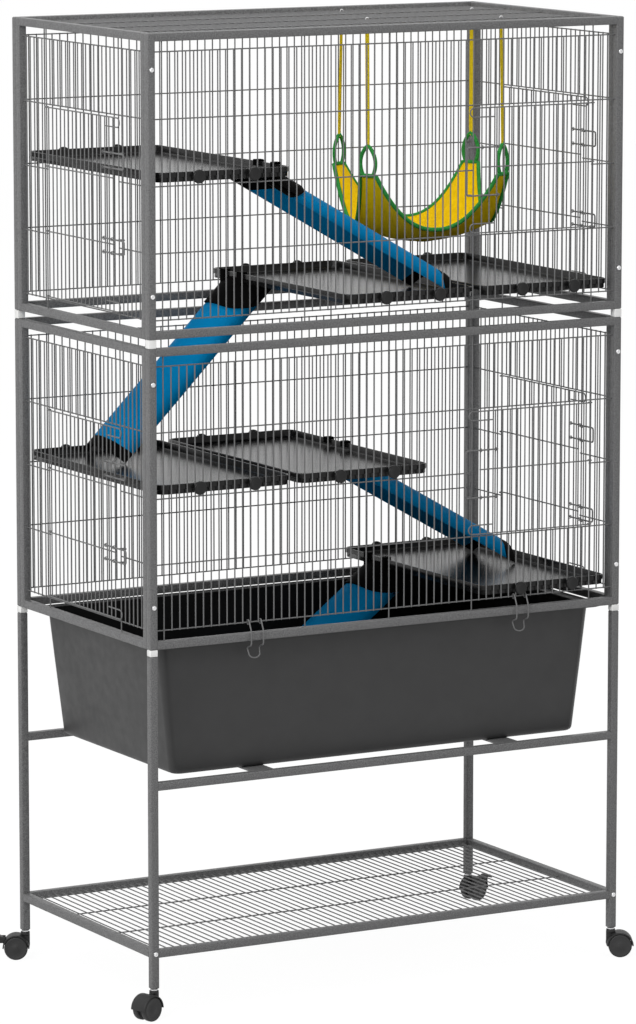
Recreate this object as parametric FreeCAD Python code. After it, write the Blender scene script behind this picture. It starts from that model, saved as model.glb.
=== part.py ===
import FreeCAD, Part
import math
import os

# Two-storey rodent cage on a rolling stand. Millimetres, +Z up, front face towards -Y,
# origin on the floor under the middle of the frame.

V = FreeCAD.Vector
UP = V(0, 0, 1)
ORIGIN = V(0, 0, 0)

# Frame
frame_width = 800.0
frame_depth = 436.0
cage_height = 438.0
leg_length = 492.0
tube = 12.0
tube_wall = 1.2
cage_plug_gap = 12.5
stand_plug_gap = 9.5
plug_spigot = 20.0
plug_clearance = 0.1

# Wire work
wire = 2.5
front_gaps = 60
side_gaps = 30
row_count = 5
row_inset = 27.0
roof_cross_wires = 3
base_cross_wires = 2
front_risers = (1, 19, 30)
back_risers = (3, 19, 41, 57)

# Doors: wires are counted in gaps from the left end of the panel, seen from outside
front_latch_gap = 41
front_hinge_gap = 57
side_door_gaps = 18
front_low_row = 1
side_low_row = 0
door_high_row = 3
door_gap = 0.5
door_drop = 4.0
door_rise = 3.5
door_mid_rise = 4.5
sleeve_clearance = 0.08
sleeve_wall = 1.4
sleeve_length = 4.0
bend_radius = 6.8
bend_reach = 8.0
bend_return = 35.0

# Latches: row of wires that each is near, its middle above that row and the spread of its arms
front_latches = ((2, -1.5, 71.0),)
side_latches = ((1, 2.0, 20.0), (2, 30.0, 22.0))
front_latch_reach = 13.0
side_latch_reach = 24.0
latch_arm_inside = 42.0
latch_gap = 0.3
guide_wall = 1.2
guide_length = 3.0
guide_columns = (1, 3)
hook_side_gap = 0.8
hook_back_gap = 0.6
hook_tip = 4.0

# Shelves, placed by the wire gaps that their first clips pass through
shelf_gaps = 17
shelf_rim = 14.5
shelf_wall = 3.0
shelf_floor = 3.0
shelf_corner = 15.0
shelf_wire_gap = 0.35
shelf_ring_gap = 0.4
shelf_clip_span = 7
clip_radius = 10.0
clip_thickness = 5.0
clip_shank_radius = 4.0

# Ramps
ramp_gaps = 26
ramp_width = 130.0
ramp_rise = 30.0
ramp_hang = 10.0
ramp_thickness = 3.0
ramp_tuck = 22.0
ramp_foot = 18.0
ramp_rest_gap = 1.6
saddle_length = 50.0
saddle_depth = 22.0
saddle_thickness = 2.8
saddle_gap = 0.2
hook_width = 70.0
hook_plate = 3.0
hook_top_gap = 0.8
hook_rim_gap = 0.6
hook_lip_gap = 2.5
hook_lip = 2.5
hook_lip_depth = 6.0
hook_outer = 4.0
hook_outer_depth = 24.0

# Hammock
hammock_x = 213.0
hammock_y = 59.0
hammock_turn = -20.5
hammock_side = 210.0
hammock_corner_drop = 242.5
hammock_sag = 113.0
hammock_edge_sag = 30.0
hammock_scallop = 0.12
hammock_rise_power = 1.5
hammock_thickness = 2.5
strap_width = 8.0
strap_thickness = 1.6
strap_head = 16.0
strap_gap = 0.3

# Tray and what carries it
tray_height = 195.0
tray_top_gap = 0.5
tray_end_gap = 1.5
tray_front_gap = 1.0
tray_rim_thickness = 3.0
tray_end_flange = 18.5
tray_front_flange = 13.0
tray_end_taper = 23.0
tray_front_taper = 9.0
tray_wall = 3.0
tray_corner = 24.0
tray_fillet = 10.0
strip_x = 210.0
strip_width = 36.0
strip_thickness = 3.0

# Tray clips on the lowest front wire of the lower cage
tray_clip_gap = 12
tray_clip_half = 10.0
tray_clip_clearance = 0.23
tray_clip_out = 10.0
tray_clip_under = 8.0
tray_clip_in = 4.0
tray_clip_loop = 26.0

# Base shelf above the casters
base_height = 97.0

# Bolts
bolt_radius = 2.0
bolt_clearance = 0.1
bolt_head_radius = 3.5
bolt_head = 2.2
bolt_head_round = 1.3
bolt_reach = 16.0
bolt_socket = 1.4
bolt_from_top = 52.0
bolt_from_foot = 62.0

# Casters
caster_head = 6.4
caster_trail = 14.0
wheel_radius = 18.0
wheel_thickness = 7.0
wheel_web = 7.2
wheel_gap = 0.4
hood_gap = 0.6
hood_wall = 2.0
wheel_show = 3.6
wheel_chamfer = 1.0
axle_radius = 2.5
stem_radius = 4.0
stem_length = 30.0
socket_depth = 32.0
running_clearance = 0.05
swivel_gap = 0.3
hub_radius = 7.0
hub_height = 8.0
brake_pin_radius = 1.5
brake_stand = 1.4
brake_rise = 14.0
brake_pedal = 15.0
brake_pedal_thickness = 3.0
brake_ear = 2.0
brake_ear_reach = 4.0
brake_ear_rise = 3.0

# Levels and places that follow from the sizes above
hood_inner = wheel_radius + hood_gap
hood_outer = hood_inner + hood_wall
leg_foot = wheel_radius + hood_outer + caster_head
leg_top = leg_foot + leg_length
lower_foot = leg_top + stand_plug_gap
upper_foot = lower_foot + cage_height + cage_plug_gap
frame_top = upper_foot + cage_height
half_wire = wire / 2
half_tube = tube / 2
inner_width = frame_width - 2 * tube
side_length = frame_depth - 2 * tube
side_inner = side_length - 2 * tube
front_pitch = inner_width / front_gaps
side_pitch = side_inner / side_gaps
row_step = (cage_height - 2 * row_inset) / (row_count - 1)
rows = [row_inset + row_step * i for i in range(row_count)]
post_x = (frame_width - tube) / 2
post_y = (frame_depth - tube) / 2
side_latch_gap = (side_gaps - side_door_gaps) // 2
side_hinge_gap = side_gaps - side_latch_gap
door_offset = wire + door_gap
door_face = door_offset + half_wire
latch_centre = door_face + latch_gap + half_wire
tray_foot_z = lower_foot - tray_top_gap - tray_height
rail_z = tray_foot_z - half_tube
roof_z = frame_top - half_tube
shelf_width = shelf_gaps * front_pitch
shelf_depth = 2 * (post_y - half_wire - shelf_wire_gap)
ramp_length = ramp_gaps * front_pitch
tray_rim_width = inner_width - 2 * tray_end_gap
tray_rim_depth = side_length - 2 * tray_front_gap
tray_top_width = tray_rim_width - 2 * tray_end_flange
tray_top_depth = tray_rim_depth - 2 * tray_front_flange
tray_foot_width = tray_top_width - 2 * tray_end_taper
tray_foot_depth = tray_top_depth - 2 * tray_front_taper
tray_clip_ring = half_wire * math.sqrt(2) + tray_clip_clearance
shelf_row_gap = tray_clip_ring + half_wire + shelf_ring_gap
brake_reach = hood_outer + brake_stand
bolt_heights = (bolt_from_foot, cage_height - bolt_from_top)
cages = {"lower": lower_foot, "upper": upper_foot}
sides = ("front", "back", "left", "right")

# Shelf name, cage, row that it stands over, gap of its first clip
shelves = (
    ("shelf_1", "upper", 2, 5),
    ("shelf_2", "upper", 0, 29),
    ("shelf_3", "upper", 0, 47),
    ("shelf_4", "lower", 2, 5),
    ("shelf_5", "lower", 2, 23),
    ("shelf_6", "lower", 0, 47),
)

# Ramp name, shelf that it hangs on, end of that shelf, what it stands on, front or back, margin there
ramps = (
    ("ramp_1", "shelf_1", 1, "shelf_2", -1, 7.4),
    ("ramp_2", "shelf_2", -1, "shelf_4", 1, 7.4),
    ("ramp_3", "shelf_5", 1, "shelf_6", 1, 80.4),
    ("ramp_4", "shelf_6", -1, "tray", 1, 41.4),
)

# Caster name, corner of the stand, direction that the wheels trail, with brake or not
casters = (
    ("caster_1", (-1, -1), 198.0, False),
    ("caster_2", (1, -1), -28.0, False),
    ("caster_3", (1, 1), 18.0, True),
    ("caster_4", (-1, 1), 152.0, True),
)


# Basic shapes

def block(x0, x1, y0, y1, z0, z1):
    """Box between two values on each axis, in any order."""
    low = V(min(x0, x1), min(y0, y1), min(z0, z1))
    return Part.makeBox(abs(x1 - x0), abs(y1 - y0), abs(z1 - z0), low)


def cylinder(radius, start, direction, length):
    return Part.makeCylinder(radius, length, start, direction)


def moved(shape, x=0.0, y=0.0, z=0.0, turn=0.0):
    """Copy turned about Z and then moved."""
    copy = shape.copy()
    copy.rotate(ORIGIN, UP, turn)
    copy.translate(V(x, y, z))
    return copy


def joined(first, others):
    return first.fuse(others).removeSplitter()


def square_tube(start, direction, length, bore_start, bore_length):
    """Square tube centred on a line along one axis, with a bore over part of its length."""
    across = [axis for axis in (V(1, 0, 0), V(0, 1, 0), V(0, 0, 1)) if abs(axis.dot(direction)) < 0.5]

    def bar(half, begin, size):
        low = start + direction * begin - (across[0] + across[1]) * half
        high = start + direction * (begin + size) + (across[0] + across[1]) * half
        return block(low.x, high.x, low.y, high.y, low.z, high.z)

    return bar(half_tube, 0, length).cut(bar(half_tube - tube_wall, bore_start, bore_length))


def rounded_rectangle(width, depth, radius, z):
    """Closed wire of a rectangle with round corners, centred on the Z axis."""
    x = width / 2 - radius
    y = depth / 2 - radius
    slant = radius * math.sqrt(0.5)
    edges = []
    for sx, sy, along_x in ((1, -1, True), (1, 1, False), (-1, 1, True), (-1, -1, False)):
        corner = V(sx * x, sy * y, z)
        ends = [corner + V(0, sy * radius, 0), corner + V(sx * radius, 0, 0)]
        if not along_x:
            ends.reverse()
        middle = corner + V(sx * slant, sy * slant, 0)
        edges.append(Part.Arc(ends[0], middle, ends[1]).toShape())
    lines = []
    for this, following in zip(edges, edges[1:] + edges[:1]):
        lines.append(this)
        lines.append(Part.makeLine(this.Vertexes[-1].Point, following.Vertexes[0].Point))
    return Part.Wire(lines)


def rounded_plate(width, depth, radius, z, thickness):
    return Part.Face(rounded_rectangle(width, depth, radius, z)).extrude(V(0, 0, thickness))


# Wire panels: local X runs along the panel, -Y is outside, Z up from the foot of the cage

def outline_points(columns, heights, left, right, below, above):
    """Corner points of a wire grid's outer edge, with wire ends that stick out past it."""
    x0, x1 = columns[0] - half_wire, columns[-1] + half_wire
    z0, z1 = heights[0] - half_wire, heights[-1] + half_wire
    points = [(x0, z0)]
    for x, end in sorted(below.items()):
        points += [(x - half_wire, z0), (x - half_wire, end), (x + half_wire, end), (x + half_wire, z0)]
    points.append((x1, z0))
    for z, end in sorted(right.items()):
        points += [(x1, z - half_wire), (end, z - half_wire), (end, z + half_wire), (x1, z + half_wire)]
    points.append((x1, z1))
    for x, end in sorted(above.items(), reverse=True):
        points += [(x + half_wire, z1), (x + half_wire, end), (x - half_wire, end), (x - half_wire, z1)]
    points.append((x0, z1))
    for z, end in sorted(left.items(), reverse=True):
        points += [(x0, z + half_wire), (end, z + half_wire), (end, z - half_wire), (x0, z - half_wire)]
    points.append((x0, z0))
    distinct = [points[0]]
    for point in points[1:]:
        if math.dist(point, distinct[-1]) > half_wire / 100:
            distinct.append(point)
    return distinct


def wire_grid(columns, heights, left=None, right=None, below=None, above=None):
    """Flat wire grid on y = 0, with one hole for each gap between its wires."""
    edge = outline_points(columns, heights, left or {}, right or {}, below or {}, above or {})
    loops = [Part.makePolygon([V(x, -half_wire, z) for x, z in edge])]
    for x0, x1 in zip(columns, columns[1:]):
        for z0, z1 in zip(heights, heights[1:]):
            a, b, c, d = x0 + half_wire, x1 - half_wire, z0 + half_wire, z1 - half_wire
            corners = ((a, c), (b, c), (b, d), (a, d), (a, c))
            loops.append(Part.makePolygon([V(x, -half_wire, z) for x, z in corners]))
    face = Part.makeFace(loops, "Part::FaceMakerBullseye")
    return face.extrude(V(0, wire, 0))


def column(gap, gaps, pitch):
    """Place along the panel of the wire after a number of gaps."""
    return (gap - gaps / 2) * pitch


def to_all(heights, end):
    return {z: end for z in heights}


def rail_ends(columns):
    """Where full-height wires meet the bottom and the top rail."""
    below = {x: tube for x in columns}
    above = {x: cage_height - tube for x in columns}
    return below, above


def panel_frame(length, open_top, bolt_axis):
    """Two posts and two rails, with the bolt holes in the posts."""
    tubes = []
    post = length / 2 - half_tube
    for x in (-post, post):
        bore = cage_height if open_top else cage_height - tube_wall
        upright = square_tube(V(x, 0, 0), UP, cage_height, 0, bore)
        for z in bolt_heights:
            reach = bolt_axis * tube
            start = V(x, 0, z) - reach if bolt_axis.y else V(x, 0, z)
            direction = bolt_axis if bolt_axis.y else bolt_axis * math.copysign(1, x)
            upright = upright.cut(cylinder(bolt_radius + bolt_clearance, start, direction, 2 * tube))
        tubes.append(upright)
    rail_length = length - 2 * tube
    for z in (half_tube, cage_height - half_tube):
        start = V(-rail_length / 2, 0, z)
        tubes.append(square_tube(start, V(1, 0, 0), rail_length, 0, rail_length))
    return tubes


def plain_panel_wires(gaps, pitch, risers):
    columns = [column(i, gaps, pitch) for i in range(1, gaps)]
    below, above = rail_ends([column(i, gaps, pitch) for i in risers])
    end = gaps * pitch / 2
    return [wire_grid(columns, rows, to_all(rows, -end), to_all(rows, end), below, above)]


def door_panel_wires(gaps, pitch, hinge_gap, latch_gap_index, low_row, risers):
    """Wire fields round a door opening, and the round wire that the door hangs on."""
    hinge_x = column(hinge_gap, gaps, pitch)
    latch_x = column(latch_gap_index, gaps, pitch)
    end = gaps * pitch / 2
    hinge_first = hinge_gap < latch_gap_index
    first = min(hinge_gap, latch_gap_index)
    last = max(hinge_gap, latch_gap_index)
    low_end = first if hinge_first else first + 1
    high_start = last if hinge_first else last + 1
    left_columns = [column(i, gaps, pitch) for i in range(1, low_end)]
    right_columns = [column(i, gaps, pitch) for i in range(high_start, gaps)]
    between = [column(i, gaps, pitch) for i in range(first + 1, last)]
    open_left = column(first, gaps, pitch) + half_wire
    open_right = column(last, gaps, pitch) - half_wire
    below, above = rail_ends([latch_x] + [column(i, gaps, pitch) for i in risers])
    fields = []
    for columns, is_hinge_side in ((left_columns, hinge_first), (right_columns, not hinge_first)):
        left = to_all(rows, -end) if columns is left_columns else {}
        right = to_all(rows, end) if columns is right_columns else {}
        if is_hinge_side:
            fields.append(wire_grid(columns, rows, left or to_all(rows, hinge_x + half_wire),
                                    right or to_all(rows, hinge_x - half_wire)))
        else:
            fields.append(wire_grid(columns, rows, left, right, below, above))
    over = rows[door_high_row:]
    fields.append(wire_grid(between, over, to_all(over, open_left), to_all(over, open_right)))
    under = rows[:low_row + 1]
    if len(under) > 1:
        fields.append(wire_grid(between, under, to_all(under, open_left), to_all(under, open_right)))
    else:
        z = under[0]
        fields.append(block(open_left, open_right, -half_wire, half_wire, z - half_wire, z + half_wire))
    fields.append(cylinder(half_wire, V(hinge_x, 0, tube), UP, cage_height - 2 * tube))
    return fields


def door(hinge_x, latch_x, pitch, low_row, latch_pairs):
    """Wire door that lies outside its opening and hangs on the round wire in three or four loops."""
    toward = math.copysign(1, hinge_x - latch_x)
    count = round(abs(hinge_x - latch_x) / pitch)
    columns = sorted(latch_x + toward * pitch * i for i in range(1, count))
    middle_rows = rows[low_row + 1:door_high_row]
    heights = [rows[low_row] + door_rise] + [z + door_mid_rise for z in middle_rows]
    heights.append(rows[door_high_row] - door_drop)
    bend_x = latch_x - toward * (bend_reach - bend_radius - half_wire)
    return_x = latch_x + toward * bend_return
    hinge_ends = to_all(heights, hinge_x)
    bend_ends = {heights[0]: bend_x, heights[-1]: bend_x}
    if toward > 0:
        grid = wire_grid(columns, heights, bend_ends, hinge_ends)
    else:
        grid = wire_grid(columns, heights, hinge_ends, bend_ends)
    grid.translate(V(0, -door_offset, 0))
    extras = []
    for z, turn in ((heights[0], 1), (heights[-1], -1)):
        middle = z + turn * bend_radius
        far = z + 2 * turn * bend_radius
        start = V(bend_x, -door_offset - half_wire, middle)
        ring = cylinder(bend_radius + half_wire, start, V(0, 1, 0), wire)
        ring = ring.cut(cylinder(bend_radius - half_wire, start, V(0, 1, 0), wire))
        reach = 2 * (bend_radius + half_wire)
        outer_half = block(bend_x, bend_x - toward * reach, -door_offset - half_wire, -door_offset + half_wire,
                           middle - reach, middle + reach)
        extras.append(ring.common(outer_half))
        extras.append(block(bend_x, return_x, -door_offset - half_wire, -door_offset + half_wire,
                            far - half_wire, far + half_wire))
    for z in heights:
        extras.append(door_sleeve(hinge_x, z))
    for pair in latch_pairs:
        for z in pair:
            for index in guide_columns:
                extras.append(latch_guide(latch_x + toward * pitch * index, z))
    return joined(grid, extras)


def door_sleeve(hinge_x, z):
    bore = half_wire + sleeve_clearance
    start = V(hinge_x, 0, z - sleeve_length / 2)
    return cylinder(bore + sleeve_wall, start, UP, sleeve_length).cut(cylinder(bore, start, UP, sleeve_length))


def latch_guide(x, z):
    """Staple on the outside of a door wire that a latch arm slides through."""
    half_channel = half_wire + latch_gap
    depth = wire + 2 * latch_gap
    half = half_channel + guide_wall
    outer = block(x - guide_length / 2, x + guide_length / 2, -door_face, -door_face - depth - guide_wall,
                  z - half, z + half)
    channel = block(x - guide_length, x + guide_length, -door_face, -door_face - depth,
                    z - half_channel, z + half_channel)
    return outer.cut(channel)


def latch(hinge_x, latch_x, reach, pair):
    """Sliding wire latch: two arms, the handle that joins them and two hooks that go in past the jamb wire."""
    toward = math.copysign(1, hinge_x - latch_x)
    handle_x = latch_x - toward * reach
    near, far = -latch_centre + half_wire, -latch_centre - half_wire
    handle = block(handle_x, handle_x - toward * wire, near, far, pair[0] - half_wire, pair[1] + half_wire)
    inside = half_wire + hook_back_gap
    hook_x = latch_x - toward * (half_wire + hook_side_gap)
    pieces = []
    for z in pair:
        low, high = z - half_wire, z + half_wire
        pieces.append(block(handle_x, latch_x + toward * latch_arm_inside, near, far, low, high))
        pieces.append(block(hook_x, hook_x - toward * wire, far, inside + wire, low, high))
        pieces.append(block(hook_x, hook_x - toward * (wire + hook_tip), inside, inside + wire, low, high))
    return joined(handle, pieces)


def on_side(shape, side, foot):
    """Put a piece that was drawn flat on one side of a cage."""
    turn = {"front": 0, "back": 180, "left": -90, "right": 90}[side]
    x = {"left": -post_x, "right": post_x}.get(side, 0)
    y = {"front": -post_y, "back": post_y}.get(side, 0)
    return moved(shape, x, y, foot, turn)


def door_layout(side):
    """Hinge and latch wire of the door on one side, with its pitch, lowest row and latches."""
    if side == "front":
        hinge_x = column(front_hinge_gap, front_gaps, front_pitch)
        latch_x = column(front_latch_gap, front_gaps, front_pitch)
        return hinge_x, latch_x, front_pitch, front_low_row, arm_pairs(front_latches), front_latch_reach
    hinge_x = column(side_hinge_gap, side_gaps, side_pitch)
    sign = 1 if side == "right" else -1
    return sign * hinge_x, -sign * hinge_x, side_pitch, side_low_row, arm_pairs(side_latches), side_latch_reach


def arm_pairs(latches):
    """Heights of the two arms of each latch above the foot of the cage."""
    return [(rows[row] + middle - spread / 2, rows[row] + middle + spread / 2) for row, middle, spread in latches]


def panel(side, cage):
    """Tube frame and wires of one side of a cage."""
    if side in ("front", "back"):
        solids = panel_frame(frame_width, cage == "lower", V(0, 1, 0))
    else:
        solids = panel_frame(side_length, False, V(1, 0, 0))
    if side == "front":
        solids += door_panel_wires(front_gaps, front_pitch, front_hinge_gap, front_latch_gap,
                                   front_low_row, front_risers)
    elif side == "back":
        solids += plain_panel_wires(front_gaps, front_pitch, back_risers)
    else:
        gaps = (side_hinge_gap, side_latch_gap)
        hinge, latched = gaps if side == "right" else gaps[::-1]
        solids += door_panel_wires(side_gaps, side_pitch, hinge, latched, side_low_row, ())
    return on_side(Part.makeCompound(solids), side, cages[cage])


def flat_grid(length, depth, gaps, cross_wires, z):
    """Level wire grid that fills a frame, wires along Y with a few cross wires."""
    pitch = length / gaps
    columns = [column(i, gaps, pitch) for i in range(1, gaps)]
    step = depth / (cross_wires + 1)
    heights = [step * (i + 1) - depth / 2 for i in range(cross_wires)]
    below = {x: -depth / 2 for x in columns}
    above = {x: depth / 2 for x in columns}
    end = length / 2
    grid = wire_grid(columns, heights, to_all(heights, -end), to_all(heights, end), below, above)
    grid.rotate(ORIGIN, V(1, 0, 0), -90)
    grid.translate(V(0, 0, z))
    return grid


# Stand

def stand_legs():
    legs = []
    for x in (-post_x, post_x):
        for y in (-post_y, post_y):
            start = V(x, y, leg_foot)
            leg = square_tube(start, UP, leg_length, socket_depth, leg_length - socket_depth)
            leg = leg.cut(cylinder(stem_radius + running_clearance, start, UP, socket_depth))
            hole = V(x, y - tube, base_height)
            leg = leg.cut(cylinder(bolt_radius + bolt_clearance, hole, V(0, 1, 0), 2 * tube))
            legs.append(leg)
    return Part.makeCompound(legs)


def tray_rails():
    """Front and back rail between the legs, and the two strips that the tray slides on."""
    solids = []
    for y in (-post_y, post_y):
        solids.append(square_tube(V(-inner_width / 2, y, rail_z), V(1, 0, 0), inner_width, 0, inner_width))
    reach = post_y - half_tube
    top = rail_z + half_tube
    for x in (-strip_x, strip_x):
        solids.append(block(x - strip_width / 2, x + strip_width / 2, -reach, reach, top - strip_thickness, top))
    return Part.makeCompound(solids)


def base_shelf():
    solids = []
    for y in (-post_y, post_y):
        start = V(-inner_width / 2, y, base_height)
        solids.append(square_tube(start, V(1, 0, 0), inner_width, 0, inner_width))
    for x in (-post_x, post_x):
        start = V(x, -side_length / 2, base_height)
        solids.append(square_tube(start, V(0, 1, 0), side_length, 0, side_length))
    solids.append(flat_grid(inner_width, side_length, front_gaps, base_cross_wires, base_height))
    return Part.makeCompound(solids)


def post_plugs():
    """White plugs that join the two cages and stand the lower one on its legs."""
    half = half_tube - tube_wall - plug_clearance
    plugs = []
    for x in (-post_x, post_x):
        for y in (-post_y, post_y):
            for foot, gap in ((leg_top, stand_plug_gap), (lower_foot + cage_height, cage_plug_gap)):
                collar = block(x - half_tube, x + half_tube, y - half_tube, y + half_tube, foot, foot + gap)
                spigot = block(x - half, x + half, y - half, y + half, foot - plug_spigot,
                               foot + gap + plug_spigot)
                plugs.append(joined(collar, [spigot]))
    return Part.makeCompound(plugs)


def bolt(reach):
    """Round-headed bolt along +Y with its head's seat on y = 0."""
    head = cylinder(bolt_head_radius, V(0, -bolt_head, 0), V(0, 1, 0), bolt_head)
    outer_edge = [edge for edge in head.Edges if all(v.Y < -bolt_head / 2 for v in edge.Vertexes)]
    head = head.makeFillet(bolt_head_round, outer_edge)
    hexagon = Part.makePolygon([V(bolt_socket * math.cos(i * math.pi / 3), -bolt_head,
                                  bolt_socket * math.sin(i * math.pi / 3)) for i in range(7)])
    socket = Part.Face(hexagon).extrude(V(0, bolt_head / 2, 0))
    shank = cylinder(bolt_radius, ORIGIN, V(0, 1, 0), reach)
    return joined(head.cut(socket), [shank])


def frame_bolts():
    single = bolt(bolt_reach)
    bolts = []
    for x in (-post_x, post_x):
        for turn, y in ((0, -frame_depth / 2), (180, frame_depth / 2)):
            heights = [foot + z for foot in cages.values() for z in bolt_heights] + [base_height]
            for z in heights:
                bolts.append(moved(single, x, y, z, turn))
    return Part.makeCompound(bolts)


# Shelves and ramps

def shelf_place(name):
    """Middle in X and height of the underside of a shelf."""
    for shelf, cage, row, first_gap in shelves:
        if shelf == name:
            x = column(first_gap + shelf_clip_span / 2 + 0.5, front_gaps, front_pitch)
            return x, cages[cage] + rows[row] + half_wire + shelf_row_gap
    raise ValueError(name)


def shelf(name):
    x, z = shelf_place(name)
    outer = rounded_plate(shelf_width, shelf_depth, shelf_corner, 0, shelf_rim)
    inner = rounded_plate(shelf_width - 2 * shelf_wall, shelf_depth - 2 * shelf_wall,
                          shelf_corner - shelf_wall, shelf_floor, shelf_rim)
    return moved(outer.cut(inner), x, 0, z)


def shelf_clips():
    """Round knobs outside the wires, each with a shank through a wire gap to a shelf's rim."""
    solids = []
    seat = post_y + half_wire
    rim = shelf_depth / 2
    for name, cage, row, first_gap in shelves:
        z = shelf_place(name)[1] + shelf_rim / 2
        for gap in (first_gap, first_gap + shelf_clip_span):
            x = column(gap + 0.5, front_gaps, front_pitch)
            for turn in (-1, 1):
                knob = cylinder(clip_radius, V(x, turn * seat, z), V(0, turn, 0), clip_thickness)
                shank = cylinder(clip_shank_radius, V(x, turn * rim, z), V(0, turn, 0), seat - rim)
                solids.append(joined(knob, [shank]))
    return Part.makeCompound(solids)


def ramp_edge(ramp_shelf, end):
    """Edge of the shelf that a ramp hangs on, and the top of its rim."""
    x, z = shelf_place(ramp_shelf)
    return x + end * shelf_width / 2, z + shelf_rim


def ramp_slope(drop):
    """Angle below level at which the foot's edges reach the floor."""
    return math.asin(drop / math.hypot(ramp_length, ramp_rise)) - math.atan2(ramp_rise, ramp_length)


def ramp_arch(start, end):
    """Stretch of the arched ramp along +X, its crest on the X axis."""
    half = ramp_width / 2
    radius = ramp_radius()
    inner_half = math.sqrt((radius - ramp_thickness) ** 2 - (radius - ramp_rise) ** 2)
    outer_arc = Part.Arc(V(start, -half, -ramp_rise), V(start, 0, 0), V(start, half, -ramp_rise)).toShape()
    inner_arc = Part.Arc(V(start, inner_half, -ramp_rise), V(start, 0, -ramp_thickness),
                         V(start, -inner_half, -ramp_rise)).toShape()
    right = Part.makeLine(V(start, half, -ramp_rise), V(start, inner_half, -ramp_rise))
    left = Part.makeLine(V(start, -inner_half, -ramp_rise), V(start, -half, -ramp_rise))
    section = Part.Face(Part.Wire([outer_arc, right, inner_arc, left]))
    return section.extrude(V(end - start, 0, 0))


def ramp_radius():
    """Radius of the outside of the arch."""
    return ((ramp_width / 2) ** 2 + ramp_rise ** 2) / (2 * ramp_rise)


def ramp_core(radius, start, end):
    """Round bar along +X on the axis of the arch."""
    return cylinder(radius, V(start, 0, -ramp_radius()), V(1, 0, 0), end - start)


def hang(shape, slope):
    """Tilt a ramp's piece down by the slope and lower it under the top of the shelf's rim."""
    shape.rotate(ORIGIN, V(0, 1, 0), slope)
    shape.translate(V(0, 0, -ramp_hang))


def ramp_bracket(slope, shelf_space):
    """Saddle over the top end of the arch, with the hook that goes over the shelf's rim."""
    seat = ramp_radius() + saddle_gap
    saddle = ramp_core(seat + saddle_thickness, -ramp_tuck, saddle_length)
    keep = block(-ramp_tuck, saddle_length, -ramp_width, ramp_width, -saddle_depth, ramp_rise)
    saddle = saddle.common(keep)
    seat_space = ramp_core(seat, -ramp_length, ramp_length)
    for piece in (saddle, seat_space):
        hang(piece, slope)
    half = hook_width / 2
    inner = -shelf_wall - hook_lip_gap
    outer = hook_rim_gap + hook_outer
    top = hook_top_gap + hook_plate
    plate = block(inner - hook_lip, outer, -half, half, hook_top_gap, top)
    lip = block(inner - hook_lip, inner, -half, half, -hook_lip_depth, top)
    back = block(hook_rim_gap, outer, -half, half, -hook_outer_depth, top)
    return joined(saddle.cut(shelf_space), [back]).cut(seat_space).fuse([plate, lip]).removeSplitter()


def ramp_parts(ramp_shelf, end, floor_z, middle_y):
    """Blue arch of a ramp, and its black bracket and foot, hung on a shelf's edge."""
    edge_x, rim_top = ramp_edge(ramp_shelf, end)
    slope = math.degrees(ramp_slope(rim_top - ramp_hang - floor_z - ramp_rest_gap))
    arch = ramp_arch(-ramp_tuck, ramp_length - ramp_foot)
    foot = ramp_arch(ramp_length - ramp_foot, ramp_length)
    for stretch in (arch, foot):
        hang(stretch, slope)
    shelf_space = block(-shelf_width / 2, hook_rim_gap, -ramp_width, ramp_width,
                        -shelf_rim - hook_rim_gap, ramp_rise)
    bracket = ramp_bracket(slope, shelf_space)
    turn = 0 if end > 0 else 180
    pieces = (arch.cut(shelf_space), bracket, foot)
    placed = [moved(piece, edge_x, middle_y, rim_top, turn) for piece in pieces]
    return placed[0], Part.makeCompound(placed[1:])


def ramp_middle(side, margin):
    """Middle of a ramp in depth, from its margin to the front or back edge of the shelf."""
    return side * (shelf_depth / 2 - ramp_width / 2 - margin)


def ramp_floor(foot_on):
    if foot_on == "tray":
        return tray_foot_z + tray_wall
    return shelf_place(foot_on)[1] + shelf_floor


# Hammock

def hammock_section(along):
    """Closed profile across the cloth at a share of its half length, -1 to 1."""
    half = hammock_side / 2
    share = abs(along)
    reach = half * (1 - hammock_scallop * (1 - share ** 2))
    low = -hammock_sag
    end_z = low + hammock_edge_sag + (hammock_sag - hammock_edge_sag) * share ** hammock_rise_power
    middle_z = low + hammock_edge_sag * share ** 2
    y = along * half
    lift = V(0, 0, hammock_thickness)
    left, middle, right = V(-reach, y, end_z), V(0, y, middle_z), V(reach, y, end_z)
    under = Part.Arc(left, middle, right).toShape()
    over = Part.Arc(right + lift, middle + lift, left + lift).toShape()
    return Part.Wire([under, Part.makeLine(right, right + lift), over, Part.makeLine(left + lift, left)])


def hammock_cloth():
    sections = [hammock_section(share) for share in (-1.0, -0.5, 0.0, 0.5, 1.0)]
    cloth = Part.makeLoft(sections, True, True)
    return moved(cloth, hammock_x, hammock_y, frame_top - hammock_corner_drop, hammock_turn)


def hammock_straps():
    """Four webbing straps from the roof wires to the corners of the cloth."""
    half = hammock_side / 2
    foot = frame_top - hammock_corner_drop + hammock_thickness + strap_gap
    top = roof_z - half_wire - strap_gap
    straps = []
    for u in (-half, half):
        for v in (-half, half):
            turn = math.radians(hammock_turn)
            x = hammock_x + u * math.cos(turn) - v * math.sin(turn)
            y = hammock_y + u * math.sin(turn) + v * math.cos(turn)
            band = block(x - strap_width / 2, x + strap_width / 2, y - strap_thickness / 2,
                         y + strap_thickness / 2, foot, top)
            head = block(x - strap_head / 2, x + strap_head / 2, y - strap_thickness / 2,
                         y + strap_thickness / 2, top - strap_thickness, top)
            straps.append(joined(band, [head]))
    return Part.makeCompound(straps)


# Tray and its clips

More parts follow.
